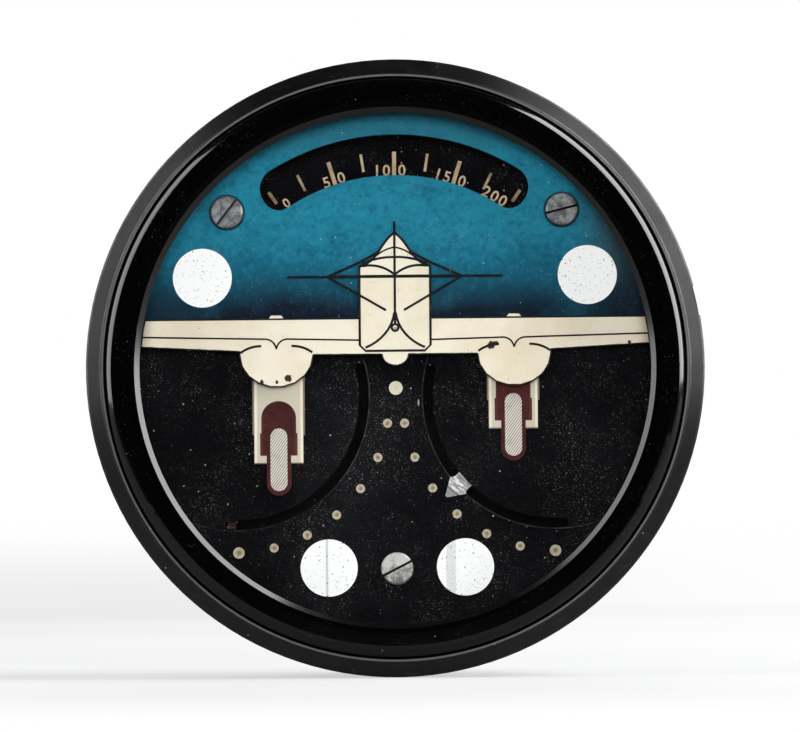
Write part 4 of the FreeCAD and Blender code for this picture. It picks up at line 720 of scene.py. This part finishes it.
MATERIALS = {
    "bakelite_satin": bakelite_satin(),
    "bakelite_gloss": bakelite_gloss(),
    "clear_glass": clear_glass(),
    "black_rubber": paint("black_rubber", srgb(24, 24, 24), srgb(34, 33, 32), 0.7),
    "black_paint": paint("black_paint", srgb(12, 11, 12), srgb(24, 22, 23), 0.6),
    "sky_paint": sky_paint(),
    "cream_paint": cream_paint(),
    "black_enamel": paint("black_enamel", srgb(12, 12, 16), srgb(26, 24, 26), 0.45, 200),
    "dial_black": dial_black(),
    "luminous_paint": luminous_paint(),
    "worn_steel": worn_steel(),
    "brass": metal("brass", srgb(206, 170, 100), srgb(160, 122, 62), 0.34),
    "opal_white": opal_white(),
    "tinned_steel": metal("tinned_steel", srgb(205, 205, 200), srgb(150, 150, 146), 0.4),
    "bulb_glass": bulb_glass(),
    "scale_paint": scale_paint(),
    "needle_paint": paint("needle_paint", srgb(238, 232, 220), srgb(214, 206, 190), 0.45, 300),
    "spring_bronze": metal("spring_bronze", srgb(196, 142, 88), srgb(140, 92, 50), 0.3),
    "maroon_paint": maroon_paint(),
    "tyre_paint": tyre_paint(),
    "pointer_brown": paint("pointer_brown", srgb(54, 40, 34), srgb(28, 22, 20), 0.6, 420),
    "pointer_aluminium": pointer_aluminium(),
}


def dress_nodes():
    """Give every CAD node the material of its slot."""
    slots = {part["node"]: part["material_slot"] for part in frame["record"]["subparts"]}
    for name, piece in frame["nodes"].items():
        piece.data.materials.clear()
        piece.data.materials.append(MATERIALS[slots[name]])


# Painted outline around the raised aircraft

# The line's half width, the step between its points, and how much its width varies
OUTLINE_R = 0.18 * MM
OUTLINE_STEP = 0.45 * MM
OUTLINE_WOBBLE = 0.45
WOBBLE_PER_METRE = 900.0

# Points and faces this close together count as the same point and the same level
SAME_POINT = 0.001 * MM
SAME_LEVEL = 0.005 * MM


def rim_loops(mesh, level):
    """Closed chains of points around the faces that lie at the front level."""
    data = bmesh.new()
    data.from_mesh(mesh)
    bmesh.ops.remove_doubles(data, verts=data.verts, dist=SAME_POINT)
    following = {}
    for face in data.faces:
        if abs(face.calc_center_median().y - level) > SAME_LEVEL:
            continue
        for loop in face.loops:
            other = [f for f in loop.edge.link_faces if f != face]
            if other and abs(other[0].normal.y) > 0.5:
                continue
            start, end = loop.vert, loop.link_loop_next.vert
            following[start.index] = (end.index, start.co.copy())
    data.free()
    loops = []
    while following:
        _, (step, spot) = following.popitem()
        chain = [spot]
        while step in following:
            step, spot = following.pop(step)
            chain.append(spot)
        loops.append(chain)
    return loops


def brushed(chain):
    """Points at short steps along a closed chain, each with an uneven line width."""
    points = []
    for start, end in zip(chain, chain[1:] + chain[:1]):
        steps = max(1, round((end - start).length / OUTLINE_STEP))
        for i in range(steps):
            spot = start.lerp(end, i / steps)
            width = 1.0 + OUTLINE_WOBBLE * noise.noise(WOBBLE_PER_METRE * spot)
            points.append((spot, width))
    return points


def add_outline():
    """Lay a thin black line along the front edges of the aircraft."""
    relief = frame["nodes"]["aircraft_relief"]
    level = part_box("aircraft_relief")[0][1]
    curve = bpy.data.curves.new("relief_outline", "CURVE")
    curve.dimensions = "3D"
    curve.bevel_depth = OUTLINE_R
    curve.bevel_resolution = 1
    for chain in rim_loops(relief.data, level):
        points = brushed(chain)
        spline = curve.splines.new("POLY")
        spline.points.add(len(points) - 1)
        for point, (spot, width) in zip(spline.points, points):
            point.co = (spot.x, level + 0.5 * OUTLINE_R, spot.z, 1.0)
            point.radius = width
        spline.use_cyclic_u = True
    piece = bpy.data.objects.new("relief_outline", curve)
    bpy.context.collection.objects.link(piece)
    curve.materials.append(MATERIALS["black_enamel"])
    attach(piece, "instrument")


# Numbers on the pressure scale

NUMBER_HEIGHT = 2.4 * MM
SMALL_HEIGHT = 2.0 * MM
NUMBER_RADIUS = 42.75 * MM
SCALE_HALF_DEG = 35.0
DIGIT_PITCH = 2.0 * MM
TICK_SIDE = 1.66 * MM
ZERO_BEARING_DEG = -32.6
LAST_BEARING_DEG = 30.0
FONT_SIZE_TO_HEIGHT = 1.38
DIGIT_HALF_THICK = 0.04 * MM
DIGIT_BOLD = 0.05 * MM
DIGIT_PROUD = 0.05 * MM


def digit(text, name, bearing_deg, offset, height):
    """One raised digit, set square to the scale at a sideways offset."""
    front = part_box("scale_plate")[0][1]
    curve = bpy.data.curves.new(name, "FONT")
    curve.body = text
    curve.size = FONT_SIZE_TO_HEIGHT * height
    curve.align_x = "CENTER"
    curve.align_y = "CENTER"
    curve.extrude = DIGIT_HALF_THICK
    curve.offset = DIGIT_BOLD
    piece = bpy.data.objects.new(name, curve)
    bpy.context.collection.objects.link(piece)
    angle = math.radians(bearing_deg)
    x = offset * math.cos(angle) + NUMBER_RADIUS * math.sin(angle)
    z = -offset * math.sin(angle) + NUMBER_RADIUS * math.cos(angle)
    piece.location = (x, front - DIGIT_PROUD, z)
    piece.rotation_euler = (math.radians(90), angle, 0)
    curve.materials.append(MATERIALS["scale_paint"])
    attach(piece, "instrument")


def number(text, bearing_deg, offsets, height=NUMBER_HEIGHT):
    """The digits of one number, each at its sideways offset from the bearing."""
    for i, (mark, offset) in enumerate(zip(text, offsets)):
        digit(mark, "number_" + text + "_" + str(i), bearing_deg, offset, height)


def add_numbers():
    """The numbers at the long marks stand on both sides of them, the end ones are whole."""
    step = 0.5 * SCALE_HALF_DEG
    split_three = (-TICK_SIDE - DIGIT_PITCH, -TICK_SIDE, TICK_SIDE)
    number("0", ZERO_BEARING_DEG, (0.0,), SMALL_HEIGHT)
    number("50", -step, (-TICK_SIDE, TICK_SIDE))
    number("100", 0.0, split_three)
    number("150", step, split_three)
    number("200", LAST_BEARING_DEG, (-DIGIT_PITCH, 0.0, DIGIT_PITCH))


# Stage: floor, backdrop, lights and camera

# Extent of the stage, in metres
FLOOR_GAP = 0.05 * MM
STAGE_SIDE = 3.0
STAGE_FRONT = -1.6
STAGE_BACK = 3.0
STAGE_TOP = 2.2

# Places in metres over which the floor's paint and glow change, and over which painted shade
# greys the floor and wall towards the left
FLOOR_FRONT = (-0.1, -0.34)
FLOOR_REAR = (0.2, 0.9)
FLOOR_GLOW_SPREAD = (0.1, 0.9)
GREY_ACROSS = (0.4, -0.3)
GREY_FLOOR = (0.03, 0.3)
GREY_WALL = (0.02, -0.06)

# Strength of the floor's glow by the object, what is added far off, and the least and the added
# painted shade to the left
GLOW_NEAR = 0.56
GLOW_ADDED = 0.42
GREY_LEAST = 0.01
GREY_ADDED = 0.145

# Lamps, in metres and watts
BOX_DISTANCE = 0.86
BOX_FORWARD = 0.12
LEFT_BEARING_DEG = -67
RIGHT_BEARING_DEG = 58
AMBIENT = 0.015


def plane(name, corners):
    mesh = bpy.data.meshes.new(name)
    mesh.from_pydata([Vector(c) for c in corners], [], [range(len(corners))])
    piece = bpy.data.objects.new(name, mesh)
    bpy.context.collection.objects.link(piece)
    return piece


def shade_to_left(g, x, amount):
    """A factor that paints shade on the stage towards the left, as far as the amount says."""
    grey = g.math("ADD", g.times(g.band(x, *GREY_ACROSS), GREY_ADDED), GREY_LEAST)
    return g.math("SUBTRACT", 1.0, g.times(grey, amount))


def floor_material():
    """Pale floor that keeps its shadows near the object, has painted shade towards the left, and
    turns nearly white far off.
    """
    g = Graph("floor_white")
    x, y, _ = g.axes()
    front = g.band(y, *FLOOR_FRONT)
    tone = g.noise(3, 3, 0.5)
    colour = g.mix(tone, (0.168, 0.17, 0.174), (0.178, 0.18, 0.184))
    colour = g.mix(front, colour, (0.02, 0.02, 0.02))
    colour = g.mix(g.band(y, *FLOOR_REAR), colour, (0.015, 0.015, 0.015))
    path = g.add("LightPath")
    span = g.math("SQRT", g.math("ADD", g.times(x, x), g.times(y, y)))
    far = g.math("MAXIMUM", g.band(span, *FLOOR_GLOW_SPREAD), front)
    glow = g.math("ADD", g.times(far, GLOW_ADDED), GLOW_NEAR)
    # Painted shade: the floor's glow is dimmed towards the left behind the object.
    glow = g.times(glow, shade_to_left(g, x, g.band(y, *GREY_FLOOR)))
    g.feed(g.bsdf.inputs["Emission Color"], (1.0, 1.0, 1.0, 1.0))
    g.link(g.times(glow, path.outputs["Is Camera Ray"]), g.bsdf.inputs["Emission Strength"])
    return g.surface(colour, 0.7, **{"Specular IOR Level": 0.0})


def backdrop_material():
    """White to the camera and in reflections, with painted shade low on the left, and dark as a
    lamp.
    """
    g = Graph("backdrop_white")
    path = g.add("LightPath")
    seen = g.math("MAXIMUM", path.outputs["Is Camera Ray"], path.outputs["Is Transmission Ray"])
    seen = g.math("MAXIMUM", seen, path.outputs["Is Glossy Ray"])
    x, _, z = g.axes()
    # Painted shade: the wall is dimmed low down on the left.
    seen = g.times(seen, shade_to_left(g, x, g.band(z, *GREY_WALL)))
    glow = g.add("Emission")
    g.link(seen, glow.inputs["Strength"])
    g.link(glow.outputs[0], g.output.inputs[0])
    g.tree.nodes.remove(g.bsdf)
    return g.material


def build_stage():
    low = CAD_BOX[0][2] - FLOOR_GAP
    front_left = (-STAGE_SIDE, STAGE_FRONT, low)
    front_right = (STAGE_SIDE, STAGE_FRONT, low)
    back_right = (STAGE_SIDE, STAGE_BACK, low)
    back_left = (-STAGE_SIDE, STAGE_BACK, low)
    top_right = (STAGE_SIDE, STAGE_BACK, STAGE_TOP)
    top_left = (-STAGE_SIDE, STAGE_BACK, STAGE_TOP)
    floor = plane("floor", [front_left, front_right, back_right, back_left])
    floor.data.materials.append(floor_material())
    back = plane("backdrop", [back_left, back_right, top_right, top_left])
    back.data.materials.append(backdrop_material())


def softbox(name, spot, size, power, glossy=True):
    """A lamp aimed at the instrument, which reflections show unless told not to."""
    lamp = bpy.data.lights.new(name, "AREA")
    lamp.shape = "RECTANGLE"
    lamp.size, lamp.size_y = size
    lamp.energy = power
    piece = bpy.data.objects.new(name, lamp)
    piece.location = spot
    piece.rotation_euler = (-Vector(spot)).to_track_quat("-Z", "Y").to_euler()
    piece.visible_glossy = glossy
    bpy.context.collection.objects.link(piece)


def at_bearing(bearing_deg):
    """A side lamp's place at a clockwise bearing round the dial, and in front of it."""
    angle = math.radians(bearing_deg)
    return (BOX_DISTANCE * math.sin(angle), -BOX_FORWARD, BOX_DISTANCE * math.cos(angle))


def build_world():
    """White to the camera, and nearly dark as a lamp."""
    world = bpy.data.worlds.new("studio")
    bpy.context.scene.world = world
    world.use_nodes = True
    tree = world.node_tree
    path = tree.nodes.new("ShaderNodeLightPath")
    ambient = tree.nodes.new("ShaderNodeMath")
    ambient.operation = "MULTIPLY_ADD"
    ambient.inputs[1].default_value = 1.0 - AMBIENT
    ambient.inputs[2].default_value = AMBIENT
    tree.links.new(path.outputs["Is Camera Ray"], ambient.inputs[0])
    shade = tree.nodes["Background"]
    shade.inputs[0].default_value = (1, 1, 1, 1)
    tree.links.new(ambient.outputs[0], shade.inputs[1])


def build_lights():
    """Two tall boxes at the sides, and two fills that reflections don't show."""
    softbox("left_box", at_bearing(LEFT_BEARING_DEG), (0.75, 0.88), 9.5)
    softbox("right_box", at_bearing(RIGHT_BEARING_DEG), (0.75, 1.1), 25)
    softbox("front_fill", (0, -1.25, 0.2), (0.9, 0.5), 12.2, glossy=False)
    softbox("back_fill", (0.1, 1.3, 0.6), (0.9, 0.6), 25, glossy=False)


def build_camera():
    """Aim at the frame's origin and shift the picture to where the photograph has it."""
    camera = bpy.data.cameras.new("camera")
    piece = bpy.data.objects.new("camera", camera)
    drop = math.radians(CAMERA_DROP_DEG)
    side = math.radians(CAMERA_SIDE_DEG)
    level_reach = math.cos(drop)
    away = Vector((math.sin(side) * level_reach, -math.cos(side) * level_reach, -math.sin(drop)))
    piece.location = CAMERA_DISTANCE * away
    level = (-away).to_track_quat("-Z", "Y")
    roll = Quaternion((0, 0, 1), -math.radians(CAMERA_ROLL_DEG))
    piece.rotation_euler = (level @ roll).to_euler()
    camera.sensor_width = SENSOR_MM
    camera.lens = SENSOR_MM * (CAMERA_DISTANCE + DIAL_FRONT) / (IMAGE_WIDTH * PIXEL_ON_DIAL)
    camera.shift_x = CENTRE_SHIFT_PX[0] / IMAGE_WIDTH
    camera.shift_y = CENTRE_SHIFT_PX[1] / IMAGE_WIDTH
    camera.clip_start = 0.01
    camera.clip_end = 20
    bpy.context.collection.objects.link(piece)
    bpy.context.scene.camera = piece


dress_nodes()
add_outline()
add_numbers()
build_stage()
build_world()
build_lights()
build_camera()

bpy.context.scene.view_settings.view_transform = "Standard"
